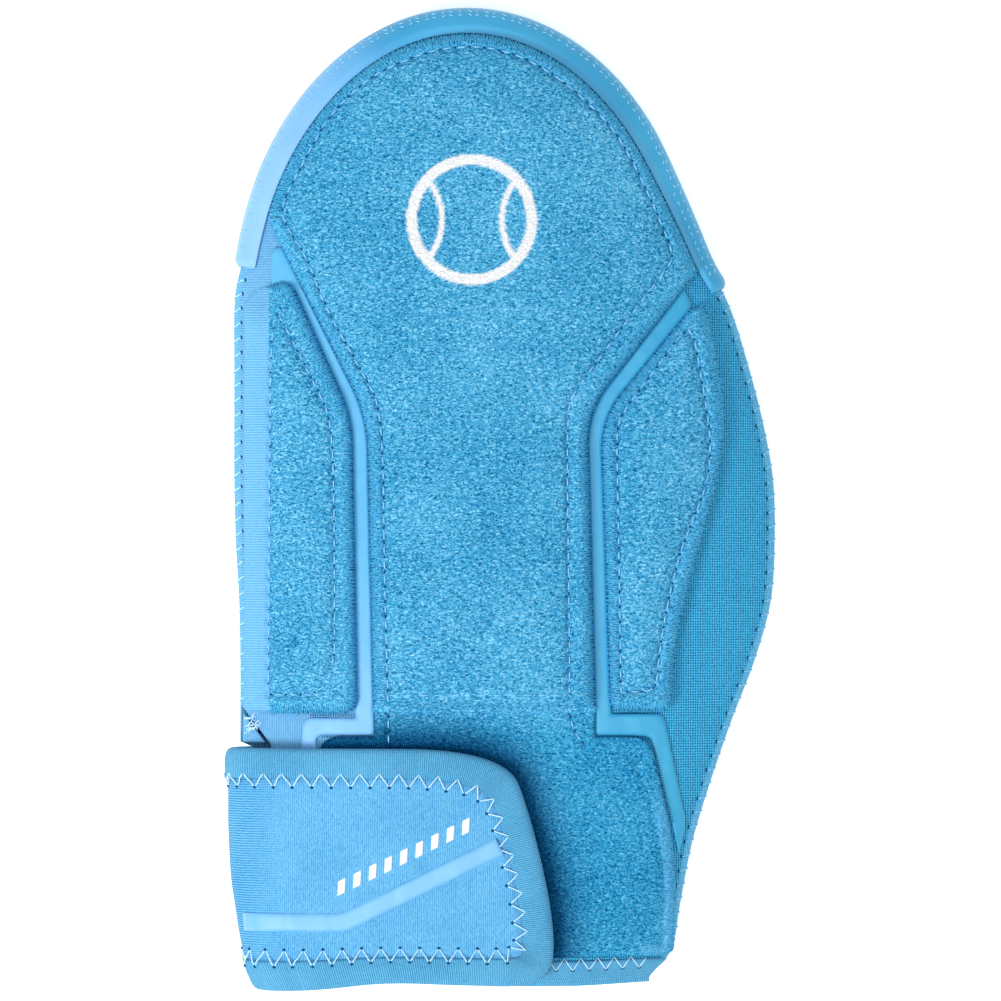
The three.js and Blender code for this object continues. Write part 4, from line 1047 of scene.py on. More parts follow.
    def fringe(self, seed):
        """Fibres that stand out round the sewn rim, and hang over its foot."""
        rng = np.random.default_rng(seed)
        spots, heading, _ = walk(self.rim_line, .5)
        middle = self.outline.mean(0)
        outward = np.stack([heading[:, 1], -heading[:, 0]], -1)
        turned = np.sign(((spots - middle) * outward).sum(1).mean())
        outward = outward * turned
        paths = []
        for spot, run, out in zip(spots, heading, outward):
            if spot[0] < BAND_EDGE:
                continue
            lean, reach = rng.normal(0, .35), rng.uniform(.1, .75)
            start = rng.uniform(1.2, 3.0)
            line = []
            for share in np.linspace(0, 1, 5):
                inset = start + share * (-reach - start)
                p = spot - out * inset + run * lean * share**2 * 1.4
                hang = 1.5 * max(-inset, 0)
                height = rim_rise(self.full, inset) + .12 * math.sin(math.pi * share) + .12 - hang
                height = float(self.eased(p[1], height)) if self.runs_on else height
                line.append([p[0], p[1], float(front_z(p[0], p[1])) + self.base + height])
            paths.append(line)
        threads(self.name + "_fringe", paths, FIBRE_RADIUS, FIBRE, 0)


def centre_outline():
    """The centre pad follows the edge rubber round the tips, and then its own corners."""
    spots, outward = edge_path(*SHOULDERS, 160)
    crown = spots - outward * (flange_width(spots) + SEAM_GAP)
    ends = [(p[0] / WIDTH, float(along_of(p[1])), 0) for p in (crown[0], crown[-1])]
    lower = rounded_outline([*CENTRE_RIGHT, *CENTRE_LEFT, *ends])[:-2]
    lower = lower[lower[:, 1] < min(crown[0, 1], crown[-1, 1])]
    return np.vstack([crown, lower])


CENTRE_OUTLINE, LEFT_OUTLINE, RIGHT_OUTLINE = centre_outline(), rounded_outline(LEFT_PAD), rounded_outline(RIGHT_PAD)
SIDE_SIZES = SIDE_HEIGHT, BED_GAP, .5, 74
centre = Pad("pad_centre", "centre_pad", CENTRE_OUTLINE, CENTRE_STITCH, CENTRE_HEIGHT, BED_GAP + .1, .56, 190, True)
left = Pad("pad_finger_side", "finger_side_pad", LEFT_OUTLINE, [*LEFT_STITCH, LEFT_STITCH[0]], *SIDE_SIZES)
right = Pad("pad_thumb_side", "thumb_side_pad", RIGHT_OUTLINE, [*RIGHT_STITCH, RIGHT_STITCH[0]], *SIDE_SIZES)

# A plain ball with its two seams, printed in outline
BALL_MIDDLE, BALL_RADIUS, BALL_STROKE, SEAM_STROKE = (-7.8, 79.0), 17.0, 1.5, .8
# Its seams are arcs of circles whose middles lie out to either side, in shares of the ball's radius
SEAM_OUT, SEAM_BEND = 1.55, 1.05


def ball_print(x, y):
    u, v = x - BALL_MIDDLE[0], y - BALL_MIDDLE[1]
    away = np.hypot(u, v)
    ring = BALL_STROKE - np.abs(away - BALL_RADIUS)
    seams = [SEAM_STROKE - np.abs(np.hypot(u - side * BALL_RADIUS * SEAM_OUT, v) - BALL_RADIUS * SEAM_BEND)
             for side in (-1, 1)]
    seams = np.where(away < BALL_RADIUS, np.maximum(*seams), -1)
    return np.clip(np.maximum(ring, seams) / .3 + .5, 0, 1)


centre.build(ball_print)
left.build()
right.build()
for seed, pad in enumerate((centre, left, right)):
    pad.fringe(seed)


def topstitches(name, pads):
    """Running stitches in the pads' grooves, with a hole between each two."""
    centres, bases, holes, hole_bases = [], [], [], []
    for pad in pads:
        for shift, spots_out, bases_out, rise in ((0, centres, bases, .42), (TOP_PITCH / 2, holes, hole_bases, .12)):
            spots, heading, _ = walk(pad.stitch, TOP_PITCH, shift + .8)
            inset, _ = nearest_on(pad.outline, spots[:, 0], spots[:, 1])
            z = front_z(spots[:, 0], spots[:, 1]) + pad.base + (rim_rise(pad.full, inset) - STITCH_SUNK)
            spots_out.append(np.column_stack([spots, z + rise]))
            bases_out.append(bases_on(front_z, spots, heading))
    scatter(name, np.vstack(centres), np.vstack(bases), TOP_STITCH, TOP_THREAD)
    scatter(name + "_holes", np.vstack(holes), np.vstack(hole_bases), LONG_HOLE, HOLE_SHADE)


topstitches("pad_stitches", (centre, left, right))


def lower_stitches():
    """The centre pad's lines of stitches run on over the landing, and a faint row crosses the pad's lower end."""
    centres, bases, holes, hole_bases = [], [], [], []
    for line in LANDING_STITCHES:
        for shift, spots_out, bases_out, rise in ((0, centres, bases, .1), (TOP_PITCH / 2, holes, hole_bases, -.1)):
            spots, heading, _ = walk(softened(line), TOP_PITCH, shift + .6)
            height = centre.eased(spots[:, 1], np.full(len(spots), CENTRE_HEIGHT + .6))
            spots_out.append(np.column_stack([spots, front_z(*spots.T) + BED_GAP + height + rise]))
            bases_out.append(bases_on(front_z, spots, heading))
    spots, heading, _ = walk(CROSSING_ROW, TOP_PITCH)
    centres.append(np.column_stack([spots, centre.top_at(spots) + .02]))
    bases.append(bases_on(front_z, spots, heading))
    scatter("lower_stitches", np.vstack(centres), np.vstack(bases), LOWER_STITCH, TOP_THREAD)
    scatter("lower_stitches_holes", np.vstack(holes), np.vstack(hole_bases), LONG_HOLE, HOLE_SHADE)


lower_stitches()


# Landing and gusset

def flat_patch(name, corners, height, base, cell, columns, material, node, edge=1.2,
               shaded_by=None, sewn=(), rolled=0):
    """A thin patch on the front panel with a rounded edge.

    Around the line given for shade a soft shadow is painted: the loops there are coloured darker. sewn holds lines with
    the depth and width of their grooves.
    rolled is how wide its rim is rolled in knit at the lower right."""
    outline = rounded_outline(corners)
    low, high = outline[:, 1].min() + .04, outline[:, 1].max() - .04
    ys = np.linspace(low, high, max(4, int((high - low) / cell)))
    spans = np.array([span_at(outline, y) for y in ys])
    x = spans[:, :1] + (spans[:, 1:] - spans[:, :1]) * np.linspace(0, 1, columns)
    y = np.repeat(ys[:, None], columns, 1)
    inset, arc = nearest_on(outline, x, y)
    lift = height * (.45 + .55 * np.sqrt(1 - (1 - np.clip(inset / edge, 0, 1)) ** 2))
    for line, depth, width in sewn:
        lift = lift - depth * np.exp(-(nearest_on(softened(line), x, y, closed=False)[0] / width) ** 2)
    z = front_z(x, y) + base + lift
    xi, yi, arc_i, inset_i = thinned(*(max(4, n // 4) for n in x.shape), x, y, arc, inset)
    piece = closed_piece(name, np.stack([x, y, z], -1), np.stack([xi, yi, front_z(xi, yi) + base], -1))
    set_map(piece, np.stack([arc, inset], -1), np.stack([arc_i, inset_i], -1))
    set_mark(piece, "rim", np.clip(1.6 - inset, 0, 1), np.ones_like(xi))
    if rolled:
        band = .3 * smooth_step(rolled - inset, -.3, .3) * (x > 40) * smooth_step(-y, 76, 92)
        set_mark(piece, "band", band, np.zeros_like(xi))
    # The painted shadow around the line, fading out about 7.6 mm from it
    if shaded_by is not None:
        away, _ = nearest_on(shaded_by, x, y, closed=False)
        set_mark(piece, "strap_shadow", .97 * np.exp(-(away / 7.6) ** 2), np.zeros_like(xi))
    return dress(piece, material, [node] if node else ())


flat_patch("gusset", GUSSET, 1.2, -1.4, .4, 20, KNIT, "corner_gusset", .6)
flat_patch("hook_tape", HOOK, HOOK_HEIGHT, BED_GAP + LANDING_HEIGHT + SEAM_GAP, 1.2, 40, HOOKS,
           "hook_patch")


# Film strips

FILM_RIM = .16


def turned(pairs, radii):
    """Rounds the corners of two lines that run side by side, given as rows of (x, y, x, y)."""
    rows = [pairs[0]]
    for before, spot, after, radius in zip(pairs[:-2], pairs[1:-1], pairs[2:], np.broadcast_to(radii, len(pairs))[1:]):
        if radius == 0:
            rows.append(spot)
            continue
        lengths = [max(np.linalg.norm((other - spot).reshape(2, 2), axis=1).mean(), 1e-6) for other in (before, after)]
        enter, leave = (spot + (other - spot) * min(radius / length, .45)
                        for other, length in zip((before, after), lengths))
        rows += bend(enter, spot, leave, 6)
    rows = np.array(rows + [pairs[-1]])
    return rows[:, :2], rows[:, 2:]


def ribbon(a, b, reaches, columns, step=.8):
    """Rows of places from one line across to the other, and how domed the ribbon is at each, from 0 to 1.

    reaches holds how long each piece of the ribbon is, which gives its number of rows."""
    rows = []
    for i, reach in enumerate(reaches):
        for t in np.linspace(0, 1, max(1, int(reach / step)) + 1)[:-1]:
            rows.append((a[i] + t * (a[i + 1] - a[i]), b[i] + t * (b[i + 1] - b[i])))
    a, b = np.array(rows + [(a[-1], b[-1])]).swapaxes(0, 1)
    v = np.sin(np.linspace(-1, 1, columns) * math.pi / 2)
    flat = a[:, None, :] + (b - a)[:, None, :] * (v[None, :, None] + 1) / 2
    dome = (1 - np.abs(v[None, :]) ** 6) * np.clip(from_ends(len(a))[:, None] / 2, 0, 1) ** .5
    return flat[..., 0], flat[..., 1], dome


def strip(name, inner, outer, radii, node):
    """A thin smooth strip between two lines of points, slightly domed, with its rims pressed down."""
    inner, outer = turned(np.hstack([inner, outer]), radii)
    reaches = np.maximum(*(np.linalg.norm(np.diff(line, axis=0), axis=1) for line in (inner, outer)))
    x, y, dome = ribbon(inner, outer, reaches, 17)
    bed = front_z(x, y) + BED_GAP
    z = bed + FILM_RIM + (FILM_THICKNESS - FILM_RIM) * dome + .06 * wander(x, y, 9, .3) * dome
    piece = closed_piece(name, np.stack([x, y, z], -1), np.stack([x, y, bed], -1)[::2, ::4])
    return dress(piece, FILM, [node])


def groove_lines(side, pad_outline, top_y, fan, turn):
    """The two sides of the groove beside the centre pad. Above the side pad the strip fans out to the lines in fan."""
    bottom_y = float(along_y(turn[0][1])) + 3
    pad_top = pad_outline[:, 1].max() - .4
    inner, outer = [], []
    near, far = (0, 1) if side < 0 else (1, 0)
    for y in np.linspace(top_y, bottom_y, 75):
        inner_x = span_at(CENTRE_OUTLINE, y)[near] + side * FILM_CLEARANCE
        pad_x = span_at(pad_outline, y)[far] - side * FILM_CLEARANCE if y < pad_top else np.interp(y, *fan)
        inner.append((inner_x, y))
        outer.append((side * max(min(side * pad_x, side * inner_x + 8), side * inner_x + .3), y))
    radii = [0] * len(inner)
    for outer_across, outer_along, inner_across, inner_along, radius in turn:
        inner.append((inner_across * WIDTH, float(along_y(inner_along))))
        outer.append((outer_across * WIDTH, float(along_y(outer_along))))
        radii.append(radius)
    return inner, outer, radii


# The line that each strip fans out to: heights, and places across
LEFT_FAN, RIGHT_FAN = ((61.5, 70.2, 71.6), (-64.9, -64.9, -63.6)), ((55.5, 59.6), (54.6, 52.4))
strip("film_finger_side", *groove_lines(-1, LEFT_OUTLINE, 71.6, LEFT_FAN, LEFT_TURN), "finger_side_film")
strip("film_thumb_side", *groove_lines(1, RIGHT_OUTLINE, 59.6, RIGHT_FAN, RIGHT_TURN), "thumb_side_film")


def seam_ladders():
    """Tight rows of tiny dark beads, painted shade of the needle holes where the loop fabric is sewn down beside the
    strips.
    """
    centres, bases = [], []
    for line, lift in LADDERS:
        spots, heading, _ = walk(softened(line), LADDER_PITCH)
        centres.append(np.column_stack([spots, front_z(*spots.T) + BED_GAP + lift]))
        bases.append(bases_on(front_z, spots, heading))
    scatter("seam_ladders", np.vstack(centres), np.vstack(bases), LADDER_HOLE, HOLE_SHADE)


seam_ladders()


# Wrist strap: a surface that lies over the front and runs on round the fold to the back

RIM_HALF = STRAP_HALF + BINDING_GAP + BINDING_WALL
STRAP_LIFT = BED_GAP + LANDING_HEIGHT + SEAM_GAP + RIM_HALF
FOLD_YS = np.linspace(WRIST_Y - 1, float(along_y(.26)), 60)
FOLD_SAMPLES, FOLD_STEPS = 161, 60


def through(spots, samples=60):
    """Centripetal curve through spots, sampled at even steps."""
    spots = np.array(spots, float)
    p = np.vstack([2 * spots[0] - spots[1], spots, 2 * spots[-1] - spots[-2]])
    pieces = []
    for i in range(len(spots) - 1):
        a, b, c, d = p[i:i + 4]
        d0, d1, d2 = (math.sqrt(np.linalg.norm(v - u)) for u, v in ((a, b), (b, c), (c, d)))
        m1 = ((b - a) / d0 - (c - a) / (d0 + d1) + (c - b) / d1) * d1
        m2 = ((c - b) / d1 - (d - b) / (d1 + d2) + (d - c) / d2) * d1
        t = np.linspace(0, 1, samples)[:, None]
        pieces.append(b + m1 * t + (3 * c - 3 * b - 2 * m1 - m2) * t**2 + (2 * b - 2 * c + m1 + m2) * t**3)
    return np.vstack(pieces)


def fold_table():
    """At each height, the strap's middle line from its seam on the back round the fold to where it joins the front."""
    joins, lengths, table = [], [], []
    for y in FOLD_YS:
        reach = float(fold_edge(along_of(y))) * WIDTH + STRAP_HALF
        join = reach + FOLD_REACH
        low, top = RIM_HALF, float(front_z(join, y)) + STRAP_LIFT
        middle = (low + top) / 2
        climb = top - middle
        line = through([
            (STRAP_SEAM * WIDTH - SEAM_GAP / 2, low), (join, low), (reach + FOLD_REACH * .3, low + climb * .22),
            (reach, middle - climb * .1), (reach + FOLD_REACH * .28, top - climb * .36), (join, top)])
        arc = arc_along(line)
        at = np.linspace(0, arc[-1], FOLD_SAMPLES)
        table.append(np.stack([np.interp(at, arc, line[:, 0]), np.interp(at, arc, line[:, 1])], -1))
        joins.append(join)
        lengths.append(arc[-1])
    return np.array(joins), np.array(lengths), np.array(table)


JOINS, FOLD_LENGTHS, FOLD_TABLE = fold_table()


def join_x(y):
    return np.interp(y, FOLD_YS, JOINS)


def fold_length(y):
    return np.interp(y, FOLD_YS, FOLD_LENGTHS)


def fold_point(share, y):
    row = np.clip((y - FOLD_YS[0]) / (FOLD_YS[1] - FOLD_YS[0]), 0, len(FOLD_YS) - 1.001)
    column = np.clip(share, 0, 1) * (FOLD_SAMPLES - 1.001)
    r, c = row.astype(int), column.astype(int)
    fr, fc = (row - r)[..., None], (column - c)[..., None]
    return ((FOLD_TABLE[r, c] * (1 - fr) + FOLD_TABLE[r + 1, c] * fr) * (1 - fc)
            + (FOLD_TABLE[r, c + 1] * (1 - fr) + FOLD_TABLE[r + 1, c + 1] * fr) * fc)


def strap_point(x, y, lift, step=.012):
    """The place on the strap over (x, y), lifted off its middle. Left of the fold's join x runs on round the fold."""
    x, y, lift = np.broadcast_arrays(np.asarray(x, float), np.asarray(y, float), np.asarray(lift, float))
    over = lambda px: front_z(px, y) + STRAP_LIFT
    slope = over(x + .5) - over(x - .5)
    norm = np.sqrt(slope**2 + 1)
    flat = np.stack([x - slope / norm * lift, y, over(x) + lift / norm], -1)
    share = 1 - (join_x(y) - x) / fold_length(y)
    spot = fold_point(share, y)
    run = fold_point(np.minimum(share + step, 1), y) - fold_point(np.maximum(share - step, 0), y)
    run /= np.maximum(np.linalg.norm(run, axis=-1, keepdims=True), 1e-9)
    height = np.maximum(spot[..., 1] + run[..., 0] * lift, np.maximum(RIM_HALF - np.abs(lift), 0))
    folded = np.stack([spot[..., 0] - run[..., 1] * lift, y, height], -1)
    return np.where((x >= join_x(y))[..., None], flat, folded)


def round_x(y, share):
    return join_x(y) - (1 - share) * fold_length(y)


strap_end = rounded_outline([(-.6, STRAP_END[-1][1], 0), (-.6, STRAP_END[0][1], 0), *STRAP_END])[2:]
STRAP_TOP, STRAP_BOTTOM = strap_end[0, 1], strap_end[-1, 1]


def strap_edge(inset, cell=1.0):
    """The strap's edge, an inset further in: along the top, round the free end and back along the bottom."""
    def straight(y, inward, end_x):
        level = y + inward * inset
        fold = np.stack([round_x(level, np.linspace(0, 1, FOLD_STEPS)), np.full(FOLD_STEPS, level)], -1)
        steps = int((end_x - float(join_x(y))) / cell)
        start = float(join_x(level))
        flat = start + np.linspace(0, 1, steps + 1)[1:-1] * (end_x - start)
        return np.vstack([fold, np.stack([flat, np.full(len(flat), level)], -1)])
    line, heading, _ = walk(strap_end, cell)
    line[0], line = strap_end[0], np.vstack([line, strap_end[-1]])
    heading = np.vstack([heading, heading[-1:]])
    heading[0] = heading[-1] = 0
    heading[0, 0], heading[-1, 0] = 1, -1
    rounded = line + np.stack([heading[:, 1], -heading[:, 0]], -1) * inset
    if inset > 3:
        # Points where the inset line would cross itself are left out, and the rest is smoothed
        clear = nearest_on(line, rounded[:, 0], rounded[:, 1], closed=False)[0] > inset - .05
        clear[0] = clear[-1] = True
        index, half = np.arange(len(rounded)), int(inset * 1.2)
        rounded = np.stack([np.interp(index, index[clear], rounded[clear, i]) for i in range(2)], -1)
        padded = np.pad(rounded, ((half, half), (0, 0)), mode="reflect", reflect_type="odd")
        window = np.ones(2 * half + 1) / (2 * half + 1)
        rounded[1:-1] = np.stack([np.convolve(padded[:, i], window, "valid") for i in range(2)], -1)[1:-1]
    along_top, along_bottom = straight(STRAP_TOP, -1, strap_end[0, 0]), straight(STRAP_BOTTOM, 1, strap_end[-1, 0])
    return np.vstack([along_top, rounded, along_bottom[::-1]])


STRAP_OUTLINE = strap_edge(0)
CORE_RISE = .55
CORE_TOP = STRAP_HALF + CORE_RISE
# Painted shadow: the loops are coloured darker around the strap's edge, where the strap's shadow falls on the landing
STRAP_SHADOW_EDGE = STRAP_OUTLINE[FOLD_STEPS:-FOLD_STEPS]
SEWN_LINES = [(line, .7, .8) for line in LANDING_STITCHES]
flat_patch("landing", LANDING, LANDING_HEIGHT, BED_GAP, .7, 190, LANDING_PILE, "wrist_landing",
           edge=2.2, shaded_by=STRAP_SHADOW_EDGE, sewn=[(LANDING_GROOVE, .55, .8), *SEWN_LINES], rolled=3.6)
flat_patch("landing_lip", LANDING_LIP, LANDING_HEIGHT + .06, BED_GAP, .5, 150, LANDING_PILE, None,
           edge=1.6, shaded_by=STRAP_SHADOW_EDGE, sewn=SEWN_LINES)


def strap_body():
    """The strap's foam core, raised a little inside its binding, with a faint line where the two meet."""
    inset = BINDING_WALL + BINDING_GAP
    outline = strap_edge(inset)
    ys = np.linspace(STRAP_BOTTOM + inset, STRAP_TOP - inset, 96)
    ends = np.array([span_at(outline, np.clip(y, ys[0] + .02, ys[-1] - .02))[1] for y in ys])
    fold = np.array([round_x(y, np.linspace(0, 1, 90)) for y in ys])
    flat = join_x(ys)[:, None] + (ends - join_x(ys))[:, None] * np.sin(np.linspace(0, 1, 121)[1:] * math.pi / 2)
    x = np.hstack([fold, flat])
    y = np.repeat(ys[:, None], x.shape[1], 1)
    rim = strap_edge(BINDING_WIDTH)
    reach = np.array([span_at(rim, np.clip(y, rim[:, 1].min() + .02, rim[:, 1].max() - .02))[1] for y in ys])
    within = (x < reach[:, None]) & ((ys > rim[:, 1].min()) & (ys < rim[:, 1].max()))[:, None]
    gap, _ = nearest_on(rim, x, y, closed=False)
    away = BINDING_WIDTH + np.where(within, gap, -gap)
    raised = smooth_step(away, BINDING_WIDTH - .4, BINDING_WIDTH + 1.6)
    seamed = .3 * np.exp(-((away - BINDING_WIDTH - .2) / .9) ** 2)
    upper = strap_point(x, y, STRAP_HALF + CORE_RISE * raised - seamed * raised + .1 * wander(x, y, 26, .9) * raised)
    lower = strap_point(x[::3, ::3], y[::3, ::3], -STRAP_HALF)
    piece = closed_piece("strap_core", upper, lower)
    return dress(piece, STRAP_KNIT, ["wrist_strap"])


strap_body()


def binding():
    """Tape folded round the strap's edge, lightly scalloped where the zigzag pulls it down."""
    half = STRAP_HALF + BINDING_GAP
    section = [(BINDING_WIDTH, half + .15), (BINDING_WIDTH - .25, half + .62), (BINDING_WIDTH - .9, RIM_HALF - .05),
               (BINDING_WIDTH - 2, RIM_HALF - .12), (6.0, RIM_HALF), (4.6, RIM_HALF - .04), (3.2, RIM_HALF - .17),
               (2.2, RIM_HALF - .38), (1.3, RIM_HALF * .75), (.6, RIM_HALF * .54), (.15, RIM_HALF * .29), (0, 0)]
    section = section + [(inset, -lift) for inset, lift in section[-2::-1]]
    inner = [(BINDING_WIDTH, half), (6, half), (2.6, half), (BINDING_WALL + .35, half - .3), (BINDING_WALL, 0)]
    inner += [(inset, -lift) for inset, lift in inner[-2::-1]]
    arc = arc_along(STRAP_OUTLINE)
    outer_grid, mapped = [], []
    for inset, lift in section:
        line = strap_edge(inset)
        pull = 0
        if lift > 0:
            near = math.exp(-((inset - SCALLOP_INSET) / SCALLOP_WIDTH) ** 2)
            pull = SCALLOP_DEPTH * np.sin(2 * math.pi * arc / SCALLOP_PITCH) * near
        outer_grid.append(strap_point(line[:, 0], line[:, 1], lift + pull))
        # The underside has its own place on the map
        mapped.append(np.stack([arc, np.full(len(arc), inset + (0 if lift >= 0 else 20))], -1))
    inner_grid = np.stack([strap_point(*strap_edge(inset).T, lift) for inset, lift in inner], 1)[::2]
    piece = closed_piece("strap_rim", np.stack(outer_grid, 1), inner_grid)
    set_map(piece, np.stack(mapped, 1), np.zeros((*inner_grid.shape[:2], 2)))
    return dress(piece, BINDING, ["strap_binding"])


binding()


def mitred(spots, distance):
    """An open line moved sideways, with its corners kept sharp."""
    spots = np.array(spots, float)
    moved = []
    for i, spot in enumerate(spots):
        before = spot - spots[i - 1] if i else spots[1] - spot
        after = spots[i + 1] - spot if i + 1 < len(spots) else before
        sides = [np.array([-run[1], run[0]]) / np.linalg.norm(run) for run in (before, after)]
        middle = (sides[0] + sides[1]) / np.linalg.norm(sides[0] + sides[1])
        moved.append(spot + middle * distance / (middle @ sides[0]))
    return np.array(moved)


def strap_stripe():
    """The smooth stripe across the strap, which bends up towards the free end."""
    spots = [(across * WIDTH, float(along_y(along))) for across, along in STRIPE]
    low, high = turned(np.hstack([mitred(spots, side * STRIPE_WIDTH / 2) for side in (-1, 1)]), 2)
    x, y, dome = ribbon(low, high, np.linalg.norm(np.diff(low, axis=0), axis=1), 15)
    base = CORE_TOP + .05
    upper = strap_point(x, y, base + .1 + .5 * dome)
    lower = strap_point(x[::2, ::2], y[::2, ::2], base)
    return dress(closed_piece("strap_stripe_film", upper, lower), STRIPE_FILM, ["strap_stripe"])


strap_stripe()


def strap_zigzag():
    """Zigzag over the binding's inner rim, from the tape down to the strap's knit and back."""
    middle, _, _ = walk(strap_edge(BINDING_WIDTH), 1.0)
    window = np.ones(9) / 9
    middle[4:-4] = np.stack([np.convolve(middle[:, i], window, "valid") for i in range(2)], -1)
    spots, heading, _ = walk(middle, STRAP_ZIGZAG_PITCH, 3.0)
    inward = np.stack([heading[:, 1], -heading[:, 0]], -1)
    low_down = np.clip(-heading[:, :1], 0, 1)
    rim_side = spots - inward * ZIGZAG_ON_TAPE
    core_side = spots + inward * (ZIGZAG_ON_KNIT + ZIGZAG_LOW_DOWN * low_down)
    line = np.where((np.arange(len(spots)) % 2 == 0)[:, None], rim_side, core_side)
    rim_lift, core_lift = RIM_HALF + .12, CORE_TOP + .12
    fine, lifts = [], []
    for i, (a, b) in enumerate(zip(line[:-1], line[1:])):
        for t in (0, .15, .35, .5, .65, .85):
            share = t if i % 2 == 0 else 1 - t
            dip = .45 if share < .02 or share > .98 else 0
            fine.append(a + (b - a) * t)
            lifts.append(rim_lift + (core_lift - rim_lift) * smooth_step(share, .35, .7) - dip)
    points = strap_point(*np.array(fine).T, np.array(lifts))
    # Round the fold the thread stays over the floor, and the stitches down there get no holes
    points[:, 2] = np.maximum(points[:, 2], .25)
    threads("strap_zigzag", [points], STRAP_ZIGZAG_RADIUS, THREAD)
    core, rim = core_side[1::2], rim_side[::2][low_down[::2, 0] > .5]
    placed = np.vstack([strap_point(*core.T, CORE_TOP + .02), strap_point(*rim.T, RIM_HALF + .02)])
    placed = placed[placed[:, 2] > 1]
    scatter("strap_zigzag_holes", placed, np.repeat(np.eye(3)[None], len(placed), 0), ROUND_HOLE, HOLE_SHADE)


strap_zigzag()


def strap_marks():
    """A row of plain slanted ticks above the stripe."""
    start, end = np.array([-44.5, -109.8]), np.array([-9.5, -92.6])
    run = (end - start) / np.linalg.norm(end - start)
    rise = np.array([-run[1], run[0]])
    count, length, width, slant = 9, 3.6, 1.15, .28
    corner = lambda c, u, v: c + run * (u * width + v * length * slant) + rise * v * length / 2
    u, v = np.meshgrid(np.linspace(-1, 1, 5), np.linspace(-1, 1, 9))
    tiles = []
    for share in np.linspace(0, 1, count):
        middle = start + (end - start) * share
        flat = np.array([corner(middle, a, b) for a, b in zip(u.ravel(), v.ravel())]).reshape(*u.shape, 2)
        upper = strap_point(flat[..., 0], flat[..., 1], CORE_TOP + .22)
        lower = strap_point(flat[..., 0], flat[..., 1], CORE_TOP - .2)
        tiles.append(closed_piece("tick", upper, lower))
    bpy.ops.object.select_all(action="DESELECT")
    for tile in tiles:
        tile.select_set(True)
    bpy.context.view_layer.objects.active = tiles[0]
    bpy.ops.object.join()
    tiles[0].name = "strap_ticks"
    dress(tiles[0], PRINT)


strap_marks()


# Wrist hems: tape folded over the cut end of each panel

HEM_COLUMNS, HEM_ROUND = 200, 1.25
# How far the zigzag reaches onto the tape and beyond it
HEM_ON_TAPE, HEM_ON_PANEL = 2.9, .9


def hem_zigzag(name, surface, x_start, full):
    """Zigzag over the tape's upper edge, with a hole at each turn on the tape."""
    at = np.arange(x_start + 1.5, float(edge_x(HEM_TOP_Y - HEM_ON_TAPE, 1)) - 1.2, HEM_ZIGZAG_PITCH)
    turns = np.arange(len(at))
    ys = np.where(turns % 2 == 0, HEM_TOP_Y - HEM_ON_TAPE, HEM_TOP_Y + HEM_ON_PANEL)
    fine = np.arange(0, len(at) - 1, .2)
    x, y = np.interp(fine, turns, at), np.interp(fine, turns, ys)
    z = surface(x, y) + (.12 + np.clip(HEM_TOP_Y + .5 - y, 0, 1) * full)
    threads(name + "_zigzag", [np.stack([x, y, z], -1)], HEM_ZIGZAG_RADIUS, THREAD)
    low_ends = np.stack([x, y, z - .1], -1)[::10]
    scatter(name + "_holes", low_ends, np.repeat(np.eye(3)[None], len(low_ends), 0), ROUND_HOLE, HOLE_SHADE)


def wrist_hem(name, sign, node):
    """The front's hem is sewn down with a zigzag, the back's is plain."""
    surface = front_z if sign > 0 else back_z
    share = np.linspace(0, 1, HEM_COLUMNS)
    full = SEAM_GAP + BINDING_WALL
    seam = SEAM_HEIGHT + sign * SEAM_GAP / 2

    def row(y):
        inside = max(y, PANEL_END_Y)
        a = float(slit_x(np.array([inside]))[0]) if sign > 0 else STRAP_SEAM * WIDTH + SEAM_GAP / 2
        b = float(edge_x(inside, 1))
        return a + (b - a) * share

    def level(x, y, z):
        return np.stack([x, np.full(HEM_COLUMNS, y), z], -1)

    def face(y, lift):
        x = row(y)
        return level(x, y, surface(x, np.full(HEM_COLUMNS, max(y, PANEL_END_Y))) + sign * lift)

    x_end = row(PANEL_END_Y)
    inner_z = surface(x_end, np.full(HEM_COLUMNS, PANEL_END_Y)) - sign * PANEL_WALL
    inner_z = np.maximum(inner_z, seam) if sign > 0 else np.minimum(inner_z, seam)
    top_z = face(PANEL_END_Y, full)[:, 2]
    outer = [face(HEM_TOP_Y, SEAM_GAP + .1), face(HEM_TOP_Y - .12, full * .75), face(HEM_TOP_Y - .5, full)]
    outer += [face(y, full) for y in np.linspace(HEM_TOP_Y - 1.2, PANEL_END_Y + 1.2, 6)]
    for angle in np.linspace(0, math.pi / 2, 6):
        y = WRIST_Y + HEM_ROUND * (1 - math.sin(angle))
        outer.append(level(x_end, y, top_z - sign * HEM_ROUND * (1 - math.cos(angle))))
    for t in (.4, .7, 1):
        outer.append(level(x_end, WRIST_Y, (top_z - sign * HEM_ROUND) * (1 - t) + inner_z * t))
    cut_y = PANEL_END_Y - SEAM_GAP
    inner = [face(HEM_TOP_Y, SEAM_GAP), face((HEM_TOP_Y + PANEL_END_Y) / 2, SEAM_GAP), face(PANEL_END_Y, SEAM_GAP),
             level(x_end, cut_y, face(PANEL_END_Y, 0)[:, 2]), level(x_end, cut_y, inner_z)]
    outer_grid, inner_grid = np.stack(outer, 1), np.stack(inner, 1)[::4]
    if sign < 0:
        outer_grid[..., 2] = np.maximum(outer_grid[..., 2], 0)
    piece = closed_piece(name, outer_grid, inner_grid)
    across, down = np.meshgrid(x_end, np.arange(len(outer)) * .6, indexing="ij")
    set_map(piece, np.stack([across, down], -1), np.zeros((*inner_grid.shape[:2], 2)))
    dress(piece, BINDING, [node])
    if sign > 0:
        hem_zigzag(name, surface, x_end[0], full)


wrist_hem("hem_front", 1, "front_wrist_hem")
wrist_hem("hem_back", -1, "back_wrist_hem")


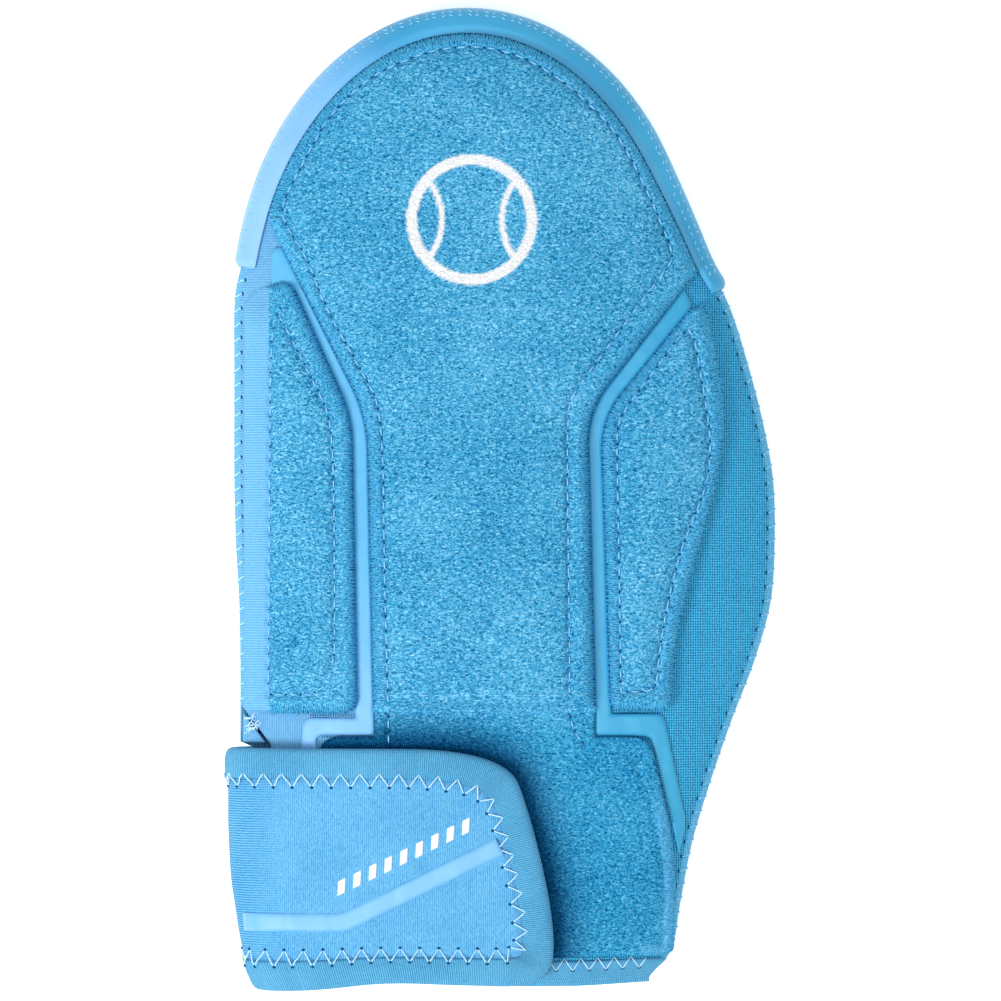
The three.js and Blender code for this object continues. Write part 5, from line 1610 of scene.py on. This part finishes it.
def gusset_threads():
    """A few loose threads over the gusset."""
    rng = np.random.default_rng(11)
    paths = []
    for k in range(9):
        y0 = rng.uniform(-66, -62)
        x0, x1 = rng.uniform(-73, -71.2), rng.uniform(-70, -67.6)
        path = []
        for t in np.linspace(0, 1, 7):
            x, y = x0 + (x1 - x0) * t, y0 + (t - .3) * rng.uniform(.6, 3.0) + .4 * math.sin(6 * t + k)
            path.append([x, y, float(front_z(x, y)) + .15 + .5 * math.sin(math.pi * t)])
        paths.append(path)
    threads("gusset_threads", paths, LOOSE_RADIUS, THREAD)


gusset_threads()


# Floor, light and camera

def floor():
    bpy.ops.object.select_all(action="DESELECT")
    bpy.ops.mesh.primitive_plane_add(size=6, location=(0, 0, -.0002))
    ground = bpy.context.object
    ground.name = "floor"
    f = Finish("pale_floor", .9, .1)
    f.colour((.9, .9, .9, 1))
    f.shader.inputs["Emission Color"].default_value = (1, 1, 1, 1)
    f.shader.inputs["Emission Strength"].default_value = .5
    ground.data.materials.append(f.material)
    ground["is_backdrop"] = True


def area_light(name, spot, size, power):
    """A round white light at spot, in metres, turned towards the mitt."""
    light = bpy.data.lights.new(name, "AREA")
    light.shape, light.size, light.energy = "DISK", size, power
    lamp = bpy.data.objects.new(name, light)
    bpy.context.collection.objects.link(lamp)
    lamp.location = spot
    lamp.rotation_mode = "QUATERNION"
    lamp.rotation_quaternion = (-Vector(spot)).to_track_quat("-Z", "Y")


# Name, place and width in metres, power in watts
LIGHTS = (("key", (-1.25, -.75, 1.75), .7, 31), ("overhead", (.1, -.3, 2.2), 1.6, 24))
floor()
for row in LIGHTS:
    area_light(*row)
world = bpy.data.worlds.new("studio")
bpy.context.scene.world = world
world.use_nodes = True
world.node_tree.nodes["Background"].inputs["Color"].default_value = (1, 1, 1, 1)
world.node_tree.nodes["Background"].inputs["Strength"].default_value = .4
bpy.context.scene.view_settings.view_transform = "Standard"

# The camera looks straight down, from so high that PICTURE_WIDTH fills the picture at FRAMED_LEVEL
PICTURE_WIDTH, PICTURE_MIDDLE, FRAMED_LEVEL, LENS, SENSOR = 285.4, (0.285, -0.43), 13, 300.0, 36.0
camera = bpy.data.cameras.new("camera")
camera.lens, camera.sensor_width = LENS, SENSOR
camera.clip_start, camera.clip_end = .05, 20
eye = bpy.data.objects.new("camera", camera)
bpy.context.collection.objects.link(eye)
eye.location = Vector((*PICTURE_MIDDLE, FRAMED_LEVEL + PICTURE_WIDTH * LENS / SENSOR)) * MM
bpy.context.scene.camera = eye

seen_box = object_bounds()
{"cad": [list(map(float, corner)) for corner in cad_box], "visual": [list(map(float, corner)) for corner in seen_box]}
